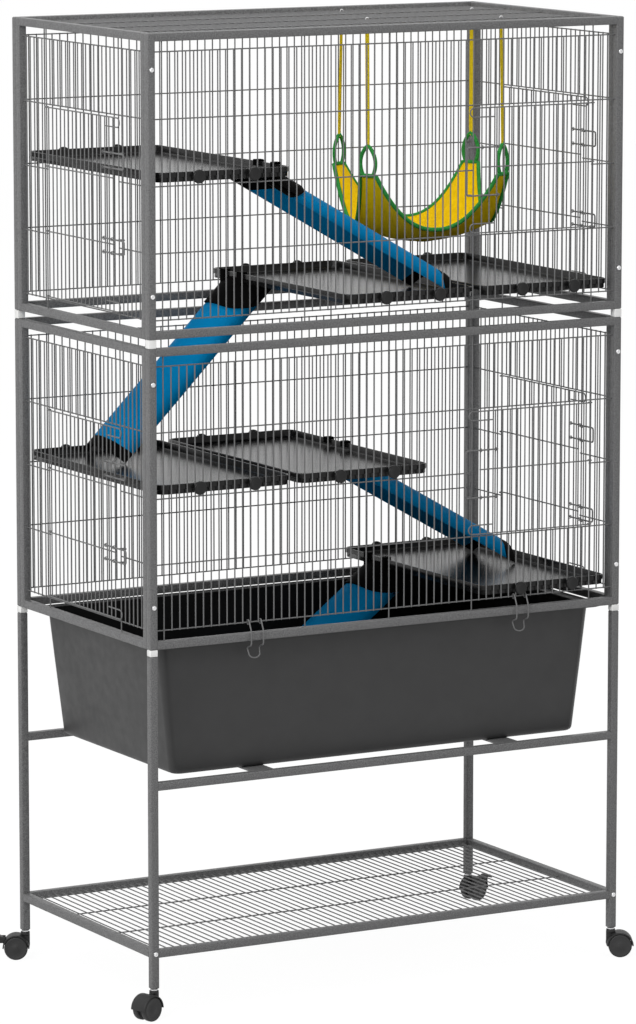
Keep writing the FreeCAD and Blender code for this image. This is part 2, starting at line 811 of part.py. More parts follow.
def tray_loft(inset, foot_z, top_z):
    low = rounded_rectangle(tray_foot_width - 2 * inset, tray_foot_depth - 2 * inset, tray_corner - inset, foot_z)
    high = rounded_rectangle(tray_top_width - 2 * inset, tray_top_depth - 2 * inset, tray_corner - inset, top_z)
    return Part.makeLoft([low, high], True, True)


def tray():
    shell = tray_loft(0, tray_foot_z, tray_foot_z + tray_height)
    foot_edges = [edge for edge in shell.Edges
                  if all(abs(vertex.Z - tray_foot_z) < tray_wall / 10 for vertex in edge.Vertexes)]
    shell = shell.makeFillet(tray_fillet, foot_edges)
    rim_z = tray_foot_z + tray_height - tray_rim_thickness
    rim = rounded_plate(tray_rim_width, tray_rim_depth, tray_corner, rim_z, tray_rim_thickness)
    hollow = tray_loft(tray_wall, tray_foot_z + tray_wall, tray_foot_z + tray_height)
    mouth = rounded_plate(tray_top_width - 2 * tray_wall, tray_top_depth - 2 * tray_wall,
                          tray_corner - tray_wall, rim_z, 2 * tray_rim_thickness)
    return joined(shell, [rim]).cut(hollow).cut(mouth)


def slant_bar(start, end, x):
    """Square wire in the YZ plane between two points, with its ends carried past them."""
    length = math.dist(start, end)
    bar = block(x - half_wire, x + half_wire, -half_wire, length + half_wire, -half_wire, half_wire)
    bar.rotate(ORIGIN, V(1, 0, 0), math.degrees(math.atan2(end[1] - start[1], end[0] - start[0])))
    bar.translate(V(0, start[0], start[1]))
    return bar


def tray_clip(x):
    """Wire clip that turns on the lowest front wire and hooks under the tray's rim."""
    pivot_z = lower_foot + rows[0]
    wire_y = -post_y
    front_y = wire_y - tray_clip_out
    under_z = lower_foot - tray_clip_under
    hook_y = wire_y + tray_clip_in
    ring_radius = tray_clip_ring + wire
    route = ((wire_y - tray_clip_ring - half_wire, pivot_z - tray_clip_ring), (front_y, lower_foot + tube),
             (front_y, under_z), (hook_y, under_z - half_wire), (front_y, lower_foot - tray_clip_loop))
    pieces = []
    for side in (-tray_clip_half, tray_clip_half):
        start = V(x + side - half_wire, wire_y, pivot_z)
        ring = cylinder(ring_radius, start, V(1, 0, 0), wire)
        bars = [slant_bar(a, b, x + side) for a, b in zip(route, route[1:])]
        arm = ring.fuse(bars).cut(cylinder(tray_clip_ring, start, V(1, 0, 0), wire))
        pieces.append(arm)
    y, z = route[-1]
    loop = block(x - tray_clip_half, x + tray_clip_half, y - half_wire, y + half_wire,
                 z - half_wire, z + half_wire)
    return joined(loop, pieces)


# Casters: drawn with the swivel axis on Z and the wheels trailing along +X

def caster_body(with_brake):
    axle = V(caster_trail, 0, wheel_radius)
    across = V(0, 1, 0)
    half_web = wheel_web / 2
    half_hood = half_web + wheel_gap + wheel_thickness + wheel_gap
    reach = 2 * hood_outer
    upper = block(caster_trail - reach, caster_trail + reach, -reach, reach, wheel_radius, reach + wheel_radius)
    hood = cylinder(hood_outer, axle - across * half_hood, across, 2 * half_hood)
    hood = hood.cut(cylinder(hood_inner, axle - across * half_hood, across, 2 * half_hood)).common(upper)
    web = cylinder(wheel_radius - wheel_show, axle - across * half_web, across, wheel_web)
    crown = cylinder(hood_outer, axle - across * half_web, across, wheel_web).common(upper)
    hub_foot = leg_foot - swivel_gap - hub_height
    hub = cylinder(hub_radius, V(0, 0, hub_foot), UP, hub_height)
    neck = block(-hub_radius, hub_radius, -half_web, half_web, wheel_radius, hub_foot + hub_height / 2)
    stem = cylinder(stem_radius, V(0, 0, hub_foot), UP, hub_height + swivel_gap + stem_length)
    pieces = [web, crown, hub, neck, stem]
    pin = brake_pin(with_brake)
    if with_brake:
        ear_half = brake_pedal / 2 - brake_ear
        wheel_space = cylinder(hood_inner, axle - across * reach, across, 2 * reach)
        for sign in (-1, 1):
            ear = block(pin.x - brake_pedal / 2, pin.x + brake_ear_reach, sign * ear_half,
                        sign * (ear_half + brake_ear), pin.z - brake_pedal / 2, pin.z + brake_ear_rise)
            pieces.append(ear.cut(wheel_space))
    body = joined(hood, pieces)
    body = body.cut(cylinder(axle_radius + running_clearance, axle - across * reach, across, 2 * reach))
    if with_brake:
        hole = brake_pin_radius + running_clearance
        body = body.cut(cylinder(hole, pin - across * reach, across, 2 * reach))
    return body


def brake_pin(with_brake):
    """Middle of the brake lever's pin, behind the hood."""
    return V(caster_trail + brake_reach, 0, wheel_radius + brake_rise) if with_brake else ORIGIN


def caster_wheels():
    across = V(0, 1, 0)
    axle = V(caster_trail, 0, wheel_radius)
    inner = wheel_web / 2 + wheel_gap
    half = inner + wheel_thickness
    rod = cylinder(axle_radius, axle - across * half, across, 2 * half)
    discs = []
    for sign in (-1, 1):
        start = axle + across * (sign * inner)
        disc = cylinder(wheel_radius, start, across * sign, wheel_thickness)
        discs.append(disc.makeChamfer(wheel_chamfer, disc.Edges))
    return joined(rod, discs)


def brake_lever():
    pin = brake_pin(True)
    across = V(0, 1, 0)
    half = brake_pedal / 2 - brake_ear - wheel_gap
    reach = brake_pedal / 2
    rod = cylinder(brake_pin_radius, pin - across * reach, across, 2 * reach)
    sleeve = cylinder(brake_pin_radius + brake_pedal_thickness / 2, pin - across * half, across, 2 * half)
    pedal = block(pin.x, pin.x + brake_pedal, -half, half, pin.z, pin.z + brake_pedal_thickness)
    pad = block(pin.x + brake_pedal / 2, pin.x + brake_pedal, -reach, reach, pin.z, pin.z + brake_pedal_thickness)
    return joined(rod, [sleeve, pedal, pad])


# Every piece of the cage, one file each

def build():
    nodes = {}
    for cage, foot in cages.items():
        for side in sides:
            nodes[f"{cage}_{side}_panel"] = panel(side, cage)
        for side in ("front", "left", "right"):
            hinge_x, latch_x, pitch, low_row, pairs, reach = door_layout(side)
            leaf = door(hinge_x, latch_x, pitch, low_row, pairs)
            nodes[f"{cage}_{side}_door"] = on_side(leaf, side, foot)
            for number, pair in enumerate(pairs, 1):
                bolt_wire = latch(hinge_x, latch_x, reach, pair)
                nodes[f"{cage}_{side}_latch_{number}"] = on_side(bolt_wire, side, foot)
    nodes["roof_grid"] = flat_grid(inner_width, side_length, front_gaps, roof_cross_wires, roof_z)
    nodes["stand_legs"] = stand_legs()
    nodes["tray_rails"] = tray_rails()
    nodes["base_shelf"] = base_shelf()
    nodes["post_plugs"] = post_plugs()
    nodes["frame_bolts"] = frame_bolts()
    for name, cage, row, first_gap in shelves:
        nodes[name] = shelf(name)
    nodes["shelf_clips"] = shelf_clips()
    for name, hung_on, end, foot_on, side, margin in ramps:
        arch, ends = ramp_parts(hung_on, end, ramp_floor(foot_on), ramp_middle(side, margin))
        nodes[name] = arch
        nodes[f"{name}_ends"] = ends
    nodes["hammock_cloth"] = hammock_cloth()
    nodes["hammock_straps"] = hammock_straps()
    nodes["tray"] = tray()
    clip_x = column(tray_clip_gap + 0.5, front_gaps, front_pitch)
    nodes["tray_clip_left"] = tray_clip(clip_x)
    nodes["tray_clip_right"] = tray_clip(-clip_x)
    wheels = caster_wheels()
    for name, corner, turn, with_brake in casters:
        place = (corner[0] * post_x, corner[1] * post_y, 0, turn)
        nodes[f"{name}_body"] = moved(caster_body(with_brake), *place)
        nodes[f"{name}_wheels"] = moved(wheels, *place)
        if with_brake:
            nodes[f"{name}_brake"] = moved(brake_lever(), *place)
    return nodes


def export(nodes):
    os.makedirs("parts", exist_ok=True)
    for name, shape in nodes.items():
        solids = shape.Solids
        assert solids and all(solid.isValid() for solid in solids), name
        shape.exportStep(f"parts/{name}.step")
        print(name, len(solids), "solids", round(sum(solid.Volume for solid in solids) / 1000, 2), "cm3")


export(build())
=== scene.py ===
import bmesh
import bpy
from math import acos, asin, atan2, ceil, copysign, cos, hypot, pi, radians, sin, sqrt
from mathutils import Matrix, Vector


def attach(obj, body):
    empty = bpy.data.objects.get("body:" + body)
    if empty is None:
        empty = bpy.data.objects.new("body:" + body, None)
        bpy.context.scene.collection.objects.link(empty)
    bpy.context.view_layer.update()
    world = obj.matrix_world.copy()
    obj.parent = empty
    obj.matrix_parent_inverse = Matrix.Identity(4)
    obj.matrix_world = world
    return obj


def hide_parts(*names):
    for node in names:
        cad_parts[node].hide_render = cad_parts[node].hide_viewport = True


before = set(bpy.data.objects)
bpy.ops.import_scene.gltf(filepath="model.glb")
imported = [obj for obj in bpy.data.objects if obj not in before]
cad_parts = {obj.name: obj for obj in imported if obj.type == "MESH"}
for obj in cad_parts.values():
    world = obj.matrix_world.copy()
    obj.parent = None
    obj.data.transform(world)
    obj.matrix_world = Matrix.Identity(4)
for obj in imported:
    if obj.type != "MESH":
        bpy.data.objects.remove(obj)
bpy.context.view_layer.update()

# Sizes in millimetres, as in the part's source; wires are given by their radius
MM = 0.001
frame_width = 800.0
frame_depth = 436.0
cage_height = 438.0
leg_foot = 45.0
leg_top = 537.0
lower_foot = 546.5
upper_foot = 997.0
frame_top = 1435.0
tube = 12.0
tube_round = 1.3

# Wires of the panels, the roof and the base
wire = 1.0
front_gaps = 60
side_gaps = 30
row_foot = 27.0
row_pitch = 96.0
row_count = 5
weld_shift = 0.6
front_risers = (1, 19, 30)
back_risers = (3, 19, 41, 57)
roof_cross_wires = 3
base_cross_wires = 2
same_place = 1.0

# Doors, with the gaps of their hinge and latch wires
front_door_gaps = (57, 41)
side_door_gaps = (24, 6)
door_layer = 3.2
door_high_row = 3
door_drop = 4.0
door_rise = 3.5
door_mid_rise = 4.5
hinge_loop = 2.6
hinge_turn = 300
hinge_run = 5.0
bend_radius = 6.8
bend_reach = 8.0
bend_return = 35.0
bend_steps = 12

# Latches, with the heights of their two arms, and staples
front_latches = ((182.0, 253.0),)
side_latches = ((115.0, 135.0), (238.0, 260.0))
front_latch_reach = 13.0
side_latch_reach = 24.0
latch_layer = 5.8
latch_wire = 1.2
latch_bend = 4.0
latch_inside = 42.0
latch_hook = 3.3
latch_tip = 5.2
latch_hook_depth = 3.1
latch_hook_bend = 2.0
staple_wire = 0.6
staple_bend = 1.8
staple_half = 2.2
staple_reach = 7.7
staple_columns = (1, 3)

# Facets round a thin wire, a small rod and a thicker one
thin_sides = 8
small_sides = 20
fine_sides = 24

# Plugs between the posts, tray rails and base
plug_levels = ((leg_top, lower_foot), (lower_foot + cage_height, upper_foot))
plug_round = 0.7
spigot_half = 4.6
spigot_reach = 18.0
spigot_round = 0.4
base_height = 97.0
rail_z = 345.0
strip_x = 210.0
strip_width = 36.0
strip_thickness = 3.0
strip_round = 0.6

# Shelves
shelf_depth = 420.8
shelf_gaps = 17
shelf_middle_gap = 4
shelf_rim = 14.5
shelf_corner = 15.0
shelf_rise = 4.9
shelf_floor = 3.0
shelf_groove = 2.5

# Section of a shelf from its underside over the rim to its floor: inset from the outline, height
shelf_section = (
    (4.0, 0.0), (1.9, 0.3), (1.4, 0.9), (1.4, 5.6), (0.5, 6.6), (0.1, 7.2), (0.0, 7.8), (0.0, 13.4),
    (0.3, 14.1), (0.9, shelf_rim), (2.2, shelf_rim), (2.7, 14.2), (3.0, 13.5), (3.0, 5.4), (3.5, 3.9),
    (5.0, shelf_floor), (9.0, shelf_floor), (9.8, shelf_groove), (11.0, shelf_groove),
    (11.8, shelf_floor), (14.0, shelf_floor),
)

# Shelf clips
clip_radius = 10.0
clip_thickness = 5.0
clip_gap = 0.7
clip_span = 7
clip_shank = 4.0
shank_length = 4.0
shank_sink = 1.0

# Radius at which a turned form closes
closed_radius = 0.05

# Section of a shelf clip's knob: distance from its seat, radius
clip_section = (
    (0.0, clip_radius - 1.4), (0.3, clip_radius - 0.4), (0.9, clip_radius),
    (clip_thickness - 1.4, clip_radius), (clip_thickness - 0.4, clip_radius - 0.5),
    (clip_thickness, clip_radius - 1.4), (clip_thickness, clip_radius - 2.6),
    (clip_thickness - 0.4, clip_radius - 3.1), (clip_thickness - 0.4, closed_radius),
)

# Ramps, their black saddles and the tabs over the shelf's rim
ramp_width = 130.0
ramp_gaps = 26
ramp_rise = 30.0
ramp_hang = 10.0
ramp_thickness = 3.0
ramp_roll = 0.62
ramp_tuck = 22.0
ramp_foot = 18.0
ramp_rest_gap = 1.6
arch_steps = 18
arch_lengths = 8
shelf_clear = 0.7
saddle_length = 50.0
saddle_depth = 22.0
saddle_round = 20.0
saddle_gap = 0.2
saddle_thickness = 2.8
seam_lap = 3.0
seam_round = 27.0
seam_gap = 0.1
seam_power = 4
hook_tabs = (-26.0, 26.0)
hook_tab_half = 6.0
hook_inner = -8.0
hook_lip_end = -5.5
hook_lip_foot = -6.0
hook_under = 0.8
hook_top = 3.0
hook_back = 0.7
hook_middle = 2.6
hook_outer = 4.6
hook_shoulder = 2.6
hook_chamfer = 0.6
hook_round = 0.7
hook_steps = 4

# Tray: width and depth at its rim, under the rim and at its base
tray_height = 195.0
tray_top_gap = 0.5
tray_rim = (773.0, 410.0)
tray_top = (736.0, 384.0)
tray_base = (690.0, 366.0)
tray_wall = 3.0
tray_corner = 24.0

# Tray section from outside over the rim to inside: height, inset and, off the rim, corner radius
tray_outside = (
    (0.2, 11.0, 9.0), (0.2, 8.0, 10.0), (0.8, 4.4, 12.0), (2.6, 1.7, 14.0), (5.4, 0.4, 15.0),
    (9.0, 0.0, 16.0), (60.0, 0.0, 17.0), (120.0, 0.0, 18.0), (180.0, 0.0, 20.0), (190.6, 0.0, 20.0),
)
tray_lip = ((191.8, 4.0), (192.0, 0.7), (192.5, 0.1), (194.4, 0.0), (194.9, 0.5), (tray_height, 1.2))
tray_mouth = ((tray_height, 1.2), (194.6, 2.6), (193.6, tray_wall))
tray_inside = (
    (120.0, tray_wall, tray_corner), (14.0, tray_wall, tray_corner), (7.0, 4.2, 22.0), (4.2, 7.0, 20.0),
    (tray_wall, 13.0, 16.0), (tray_wall, 20.0, 14.0),
)

# Tray clips: eyes on the lowest front wire, arms and finger loop
tray_clip_x = 226.33
clip_half = 10.0
clip_wire = 1.1
eye_radius = 3.25
eye_start = 20
eye_turn = 300
eye_steps = 14
arm_bend = 4.0
arm_narrow = 0.9
arm_low = -20.0
finger_drop = 6.0
finger_lean = 2.0

# Arm of a tray clip from its eye down to the rim: depth, height
arm_route = ((-3.1, row_foot + 1.1), (-9.8, tube + 2.0), (-9.8, -6.0), (4.0, -11.0))

# Hammock: corners from front left round to back left, heights, edge, loops and straps
hammock_corners = ((80.0, -6.0), (278.0, -80.0), (340.0, 120.0), (144.0, 198.0))
hammock_scallop = 0.12
hammock_cut = 0.21
hammock_low = 1085.0
hammock_edge = 1112.0
hammock_corner = 1195.0
hammock_climb = 2.2
hammock_sag = 2.0
hammock_rings = (0.02, 0.15, 0.3, 0.45, 0.6, 0.72, 0.82, 0.9, 0.96, 1.0)
hammock_steps = 20
cut_steps = 4
hammock_thickness = 1.6
binding_radius = 3.2
hammock_loop = 45.0
loop_foot = 0.64
loop_belly = 2.2
loop_taper = 0.9
loop_radius = 3.0
loop_steps = 12
strap_width = 7.0
strap_thickness = 1.4
strap_sink = Vector((0, 0, -4.0))

# Strap from its loop to its hook: share of the length, width and thickness against the plain band
strap_folds = (
    (0.0, 0.62, 2.6), (0.015, 0.7, 2.8), (0.04, 0.85, 1.5), (0.08, 1.0, 1.0),
    (0.92, 1.0, 1.0), (0.97, 1.0, 1.6), (1.0, 0.9, 2.2),
)

# Section of a strap, in halves of its width and thickness
strap_section = ((-1, -0.6), (-0.8, -1), (0.8, -1), (1, -0.6), (1, 0.6), (0.8, 1), (-0.8, 1), (-1, 0.6))

# Roof wire, counted from the middle, and depth of each strap's hook, in the corners' order
roof_hooks = ((6, -11.0), (21, -77.0), (26, 116.0), (11, 180.0))
roof_hook_wire = 0.7
roof_hook_bend = 2.2
roof_hook_route = ((0, 0, -7.0), (-2.4, 0, -4.0), (-2.4, 0, 2.6), (2.4, 0, 2.6), (2.4, 0, -3.0))

# Casters
wheel_radius = 18.0
wheel_width = 9.5
wheel_gap = 0.4
wheel_sides = 56
wheel_web = 7.2
web_radius = 14.0
web_face = 12.0
web_round = 0.6
caster_trail = 14.0
strut_half = 3.0
strut_lap = 1.0
strut_round = 0.6
hub_radius = 7.0
hub_foot = 36.7
neck_gap = 2.0
neck_top = 40.0
neck_round = 0.8
stem_radius = 4.0
stem_foot = 42.7
axle_radius = 2.5
axle_half = 4.0
hood_inner = 18.6
hood_outer = 20.6
hood_steps = 32

# Edge of a caster's hood: radius, distance in from its side
hood_edge = ((hood_inner, 0.0), (hood_inner + 1.3, 0.0), (hood_outer - 0.2, 0.6), (hood_outer, 1.6))

# Turned sections of hub, stem and wheel: distance along the axis, radius
hub_section = ((0.0, 5.4), (0.8, 6.6), (1.6, hub_radius), (5.2, hub_radius), (6.2, 6.2))
stem_section = ((0.0, 5.0), (0.3, 5.6), (1.6, 5.6), (1.9, stem_radius), (31.0, stem_radius), (32.5, 3.0))
wheel_section = (
    (0.0, 4.0), (0.0, 14.0), (0.3, 16.6), (1.2, 17.7), (2.4, wheel_radius),
    (wheel_width - 2.2, wheel_radius), (wheel_width - 1.0, 17.6), (wheel_width - 0.3, 16.6),
    (wheel_width, 15.4), (wheel_width - 0.4, 14.6), (wheel_width - 0.5, 5.4),
    (wheel_width, 4.6), (wheel_width, closed_radius),
)

# Brake: place of its pin, and the ears and the pedal as seen from there
brake_pin = (36.0, 32.0)
rod_chamfer = 0.3
pin_radius = 1.5
pin_half = 7.5
barrel_radius = 3.0
barrel_half = 5.1
ear_y = 6.5
ear_half = 1.0
ear_low = (-6.0, -6.5)
ear_high = (4.0, 3.0)
ear_round = 0.5
pedal_half = 7.2
pedal_flat = 6.6
pedal_inset = 0.5
pedal_upper = ((0.0, 3.0), (4.0, 4.6), (8.0, 5.0), (11.5, 4.2), (14.2, 2.2), (15.0, -0.8))
pedal_lower = ((13.2, -1.2), (12.2, 0.6), (9.6, 1.9), (6.5, 2.0), (3.0, 0.6), (0.0, -2.6))

# Meshes and textures
sharp_angle = 42
merge_distance = 0.00001
noise_low = 0.3
noise_high = 0.7
wave_scale = 0.314
wave_distortion = 0.6

# Studio, in metres: world, floor, camera, and name, place, size and power of each lamp
world_strength = 0.6
floor_reach = 12.0
floor_grey = 0.5
floor_glow = 1.12
floor_share = 0.85
camera_place = (-3.87924, -6.89355, 1.92796)
camera_target = (-0.0006, -0.0003, 0.68895)
camera_sensor = 36.0
camera_lens = 186.49
lamp_target = (0, 0, 0.7)
lamps = (
    ("key", (-3.5, -2.0, 3.0), 2.5, 120),
    ("top", (0.3, -0.4, 4.2), 3.0, 50),
)

# Places that follow
rows = [row_foot + row_pitch * i for i in range(row_count)]
post_x = (frame_width - tube) / 2
post_y = (frame_depth - tube) / 2
half_tube = tube / 2
inner_width = frame_width - 2 * tube
side_length = frame_depth - 2 * tube
front_pitch = inner_width / front_gaps
side_pitch = (side_length - 2 * tube) / side_gaps
shelf_width = shelf_gaps * front_pitch
ramp_length = ramp_gaps * front_pitch
roof_z = frame_top - half_tube
tray_foot = lower_foot - tray_top_gap - tray_height
ramp_radius = ((ramp_width / 2) ** 2 + ramp_rise ** 2) / (2 * ramp_rise)
cages = {"lower": lower_foot, "upper": upper_foot}
posts = [(x, y) for x in (-post_x, post_x) for y in (-post_y, post_y)]

# Side of a cage: turn of its panel, and direction from the middle
cage_sides = {"front": (0, 0, -1), "back": (180, 0, 1), "left": (-90, -1, 0), "right": (90, 1, 0)}

# Shelf name, height of its row above the floor, first clip gap
shelves = {
    "shelf_1": (upper_foot + rows[2], 5),
    "shelf_2": (upper_foot + rows[0], 29),
    "shelf_3": (upper_foot + rows[0], 47),
    "shelf_4": (lower_foot + rows[2], 5),
    "shelf_5": (lower_foot + rows[2], 23),
    "shelf_6": (lower_foot + rows[0], 47),
}

# Ramp name, shelf it hangs on, end of that shelf, what it stands on, middle in depth
ramps = (
    ("ramp_1", "shelf_1", 1, "shelf_2", -138.0),
    ("ramp_2", "shelf_2", -1, "shelf_4", 138.0),
    ("ramp_3", "shelf_5", 1, "shelf_6", 65.0),
    ("ramp_4", "shelf_6", -1, "tray", 104.0),
)

# Caster name, corner, direction of trail, with brake
casters = (
    ("caster_1", (-1, -1), 198.0, False),
    ("caster_2", (1, -1), -28.0, False),
    ("caster_3", (1, 1), 18.0, True),
    ("caster_4", (-1, 1), 152.0, True),
)


# Drawing

def even(steps):
    """Even shares from 0 to 1."""
    return [step / steps for step in range(steps + 1)]


def rounded_path(points, radius, steps=5):
    """Open path with its corners rounded off."""
    points = [Vector(point) for point in points]
    path = [points[0]]
    for last, corner, following in zip(points, points[1:], points[2:]):
        before = last - corner
        after = following - corner
        reach = min(radius, before.length / 2, after.length / 2)
        start = corner + before.normalized() * reach
        end = corner + after.normalized() * reach
        for share in even(steps):
            path.append(start.lerp(corner, share).lerp(corner.lerp(end, share), share))
    path.append(points[-1])
    return path


def rounded_ring(width, depth, radius, z, steps=6):
    """Points of a rectangle with round corners, centred on the Z axis."""
    points = []
    for quarter, (sx, sy) in enumerate(((1, 1), (-1, 1), (-1, -1), (1, -1))):
        for share in even(steps):
            angle = radians(90 * (quarter + share))
            points.append(Vector((sx * (width / 2 - radius) + radius * cos(angle),
                                  sy * (depth / 2 - radius) + radius * sin(angle), z)))
    return points


def circle(centre, across, side, radius, sides):
    turns = [2 * pi * share for share in even(sides)[:-1]]
    return [centre + across * radius * cos(t) + side * radius * sin(t) for t in turns]


class Shape:
    """Mesh of one piece, drawn in millimetres in a frame of its own."""

    def __init__(self, place=None):
        self.mesh = bmesh.new()
        self.place = place or Matrix.Identity(4)
        self.slot = 0

    def vertex(self, point):
        return self.mesh.verts.new((self.place @ Vector(point)) * MM)

    def face(self, corners):
        face = self.mesh.faces.new(corners)
        face.material_index = self.slot
        face.smooth = True

    def cap(self, ring):
        """Face over a ring, with corners of its own until the mesh is merged."""
        self.face([self.vertex(point) for point in ring])

    def merge(self):
        bmesh.ops.remove_doubles(self.mesh, verts=self.mesh.verts, dist=merge_distance)

    def loft(self, rings, caps=True, closed=False):
        """Skin over rings that have the same number of points."""
        loops = [[self.vertex(point) for point in ring] for ring in rings]
        count = len(loops[0])
        ahead = loops[1:] + loops[:1] if closed else loops[1:]
        for this, following in zip(loops, ahead):
            for i in range(count):
                j = (i + 1) % count
                self.face((this[i], this[j], following[j], following[i]))
        if caps and not closed:
            self.face(loops[0][::-1])
            self.face(loops[-1])

    def wire(self, path, radius, sides=10, closed=False):
        """Round wire along a path."""
        points = [Vector(point) for point in path]
        count = len(points)
        rings = []
        across = None
        for i, point in enumerate(points):
            before = points[i - 1] if i or closed else point
            after = points[(i + 1) % count] if i < count - 1 or closed else point
            along = (after - before).normalized()
            across = along.orthogonal() if across is None else across - along * across.dot(along)
            across.normalize()
            rings.append(circle(point, across, along.cross(across), radius, sides))
        self.loft(rings, caps=not closed, closed=closed)

    def bar(self, low, high, bevel):
        """Box with rounded long edges and chamfered ends."""
        low, high = Vector(low), Vector(high)
        size = high - low
        axis = max(range(3), key=lambda k: size[k])
        a, b = [k for k in range(3) if k != axis]
        middle = (low + high) / 2
        rings = []
        for along, inset in ((0, bevel), (bevel, 0), (size[axis] - bevel, 0), (size[axis], bevel)):
            ring = []
            for point in rounded_ring(size[a] - 2 * inset, size[b] - 2 * inset, bevel, 0, 3):
                place = middle.copy()
                place[a] += point.x
                place[b] += point.y
                place[axis] = low[axis] + along
                ring.append(place)
            rings.append(ring)
        self.loft(rings)

    def lathe(self, profile, start, axis, sides=40):
        """Round form from (distance along the axis, radius) pairs."""
        axis = Vector(axis).normalized()
        across = axis.orthogonal().normalized()
        side = axis.cross(across)
        rings = []
        for along, radius in profile:
            rings.append(circle(Vector(start) + axis * along, across, side, radius, sides))
        self.loft(rings)

    def piece(self, name, materials, body, slot, *replaced, soft=False):
        """Make the object and tie it to its body; a soft one is sharp at its end faces only."""
        bmesh.ops.recalc_face_normals(self.mesh, faces=self.mesh.faces)
        if soft:
            for edge in self.mesh.edges:
                edge.smooth = all(len(face.verts) == 4 for face in edge.link_faces)
        mesh = bpy.data.meshes.new(name)
        self.mesh.to_mesh(mesh)
        self.mesh.free()
        if not soft:
            mesh.set_sharp_from_angle(angle=radians(sharp_angle))
        for material in materials:
            mesh.materials.append(material)
        obj = bpy.data.objects.new(name, mesh)
        bpy.context.scene.collection.objects.link(obj)
        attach(obj, body)
        if replaced:
            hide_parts(*replaced)
        return obj


def placed(x, y, z, turn):
    return Matrix.Translation((x, y, z)) @ Matrix.Rotation(radians(turn), 4, "Z")


# Materials

def set_inputs(node, values):
    for name, value in values.items():
        node.inputs[name].default_value = value


class Surface:
    """Procedural material built up from a few textures on one shader."""

    def __init__(self, name, roughness, metallic=0.0, specular=0.5):
        self.material = bpy.data.materials.new(name)
        self.material.use_nodes = True
        self.tree = self.material.node_tree
        self.shader = self.tree.nodes["Principled BSDF"]
        settings = {"Roughness": roughness, "Metallic": metallic, "Specular IOR Level": specular}
        set_inputs(self.shader, settings)
        self.place = self.tree.nodes.new("ShaderNodeTexCoord").outputs["Object"]

    def link(self, output, target):
        self.tree.links.new(output, target)

    def texture(self, kind, size, settings):
        """Texture with features of about this size in millimetres."""
        node = self.tree.nodes.new(f"ShaderNodeTex{kind}")
        set_inputs(node, {"Scale": 1 / (size * MM), **settings})
        self.link(self.place, node.inputs["Vector"])
        return node

    def noise(self, size, detail=2.0):
        return self.texture("Noise", size, {"Detail": detail}).outputs["Fac"]

    def cells(self, size):
        node = self.texture("Voronoi", size, {})
        node.feature = "SMOOTH_F1"
        return node.outputs["Distance"]

    def waves(self, size, direction):
        node = self.texture("Wave", size / wave_scale, {"Distortion": wave_distortion})
        node.bands_direction = direction
        return node.outputs["Fac"]

    def colours(self, value, dark, light):
        node = self.tree.nodes.new("ShaderNodeValToRGB")
        first, last = node.color_ramp.elements
        first.position, last.position = noise_low, noise_high
        first.color = (*dark, 1)
        last.color = (*light, 1)
        self.link(value, node.inputs["Fac"])
        self.link(node.outputs["Color"], self.shader.inputs["Base Color"])

    def rough(self, value, low, high):
        node = self.tree.nodes.new("ShaderNodeMapRange")
        set_inputs(node, {"From Min": noise_low, "From Max": noise_high, "To Min": low, "To Max": high})
        self.link(value, node.inputs["Value"])
        self.link(node.outputs["Result"], self.shader.inputs["Roughness"])

    def bump(self, value, depth, strength=1.0):
        """Relief of this depth in millimetres, on top of any that is there."""
        node = self.tree.nodes.new("ShaderNodeBump")
        set_inputs(node, {"Strength": strength, "Distance": depth * MM})
        self.link(value, node.inputs["Height"])
        previous = self.shader.inputs["Normal"].links
        if previous:
            self.link(previous[0].from_socket, node.inputs["Normal"])
        self.link(node.outputs["Normal"], self.shader.inputs["Normal"])


def grey(level):
    return (level, level, level * 1.01)


def painted(name, dark, light, cell, depth):
    """Hammered powder coat."""
    surface = Surface(name, roughness=0.45)
    surface.colours(surface.noise(cell, detail=3.0), grey(dark), grey(light))
    surface.rough(surface.noise(cell * 4), low=0.38, high=0.55)
    surface.bump(surface.cells(cell), depth)
    return surface.material


def moulded(name, dark, light, roughness, grain, depth, specular=0.5, marks=0.12):
    """Moulded plastic with a fine grain and faint handling marks."""
    surface = Surface(name, roughness, specular=specular)
    surface.colours(surface.noise(60.0, detail=3.0), dark, light)
    surface.rough(surface.noise(18.0, detail=4.0), roughness * (1 - marks), roughness * (1 + marks))
    surface.bump(surface.noise(grain), depth)
    return surface.material


def steel(name):
    """Bright zinc plate with fine turning marks."""
    surface = Surface(name, roughness=0.25, metallic=1.0)
    surface.colours(surface.noise(1.2, detail=3.0), grey(0.62), grey(0.86))
    surface.rough(surface.noise(2.0), low=0.18, high=0.34)
    surface.bump(surface.noise(0.6), depth=0.03)
    return surface.material


def fleece(name, dark, light):
    """Brushed fleece: soft pile, slight mottling and sheen."""
    surface = Surface(name, roughness=0.9, specular=0.05)
    surface.colours(surface.noise(7.0, detail=4.0), dark, light)
    surface.rough(surface.noise(3.0), low=0.82, high=0.98)
    surface.bump(surface.noise(0.9, detail=3.0), depth=0.35, strength=0.6)
    set_inputs(surface.shader, {"Sheen Weight": 0.03, "Sheen Roughness": 0.6})
    return surface.material


def webbing(name, dark, light, thread):
    """Woven band: two crossing sets of threads."""
    surface = Surface(name, roughness=0.8, specular=0.25)
    surface.colours(surface.noise(4.0, detail=3.0), dark, light)
    surface.rough(surface.noise(2.0), low=0.7, high=0.9)
    surface.bump(surface.waves(thread, "Z"), depth=0.25, strength=0.7)
    surface.bump(surface.waves(thread, "DIAGONAL"), depth=0.2, strength=0.6)
    return surface.material


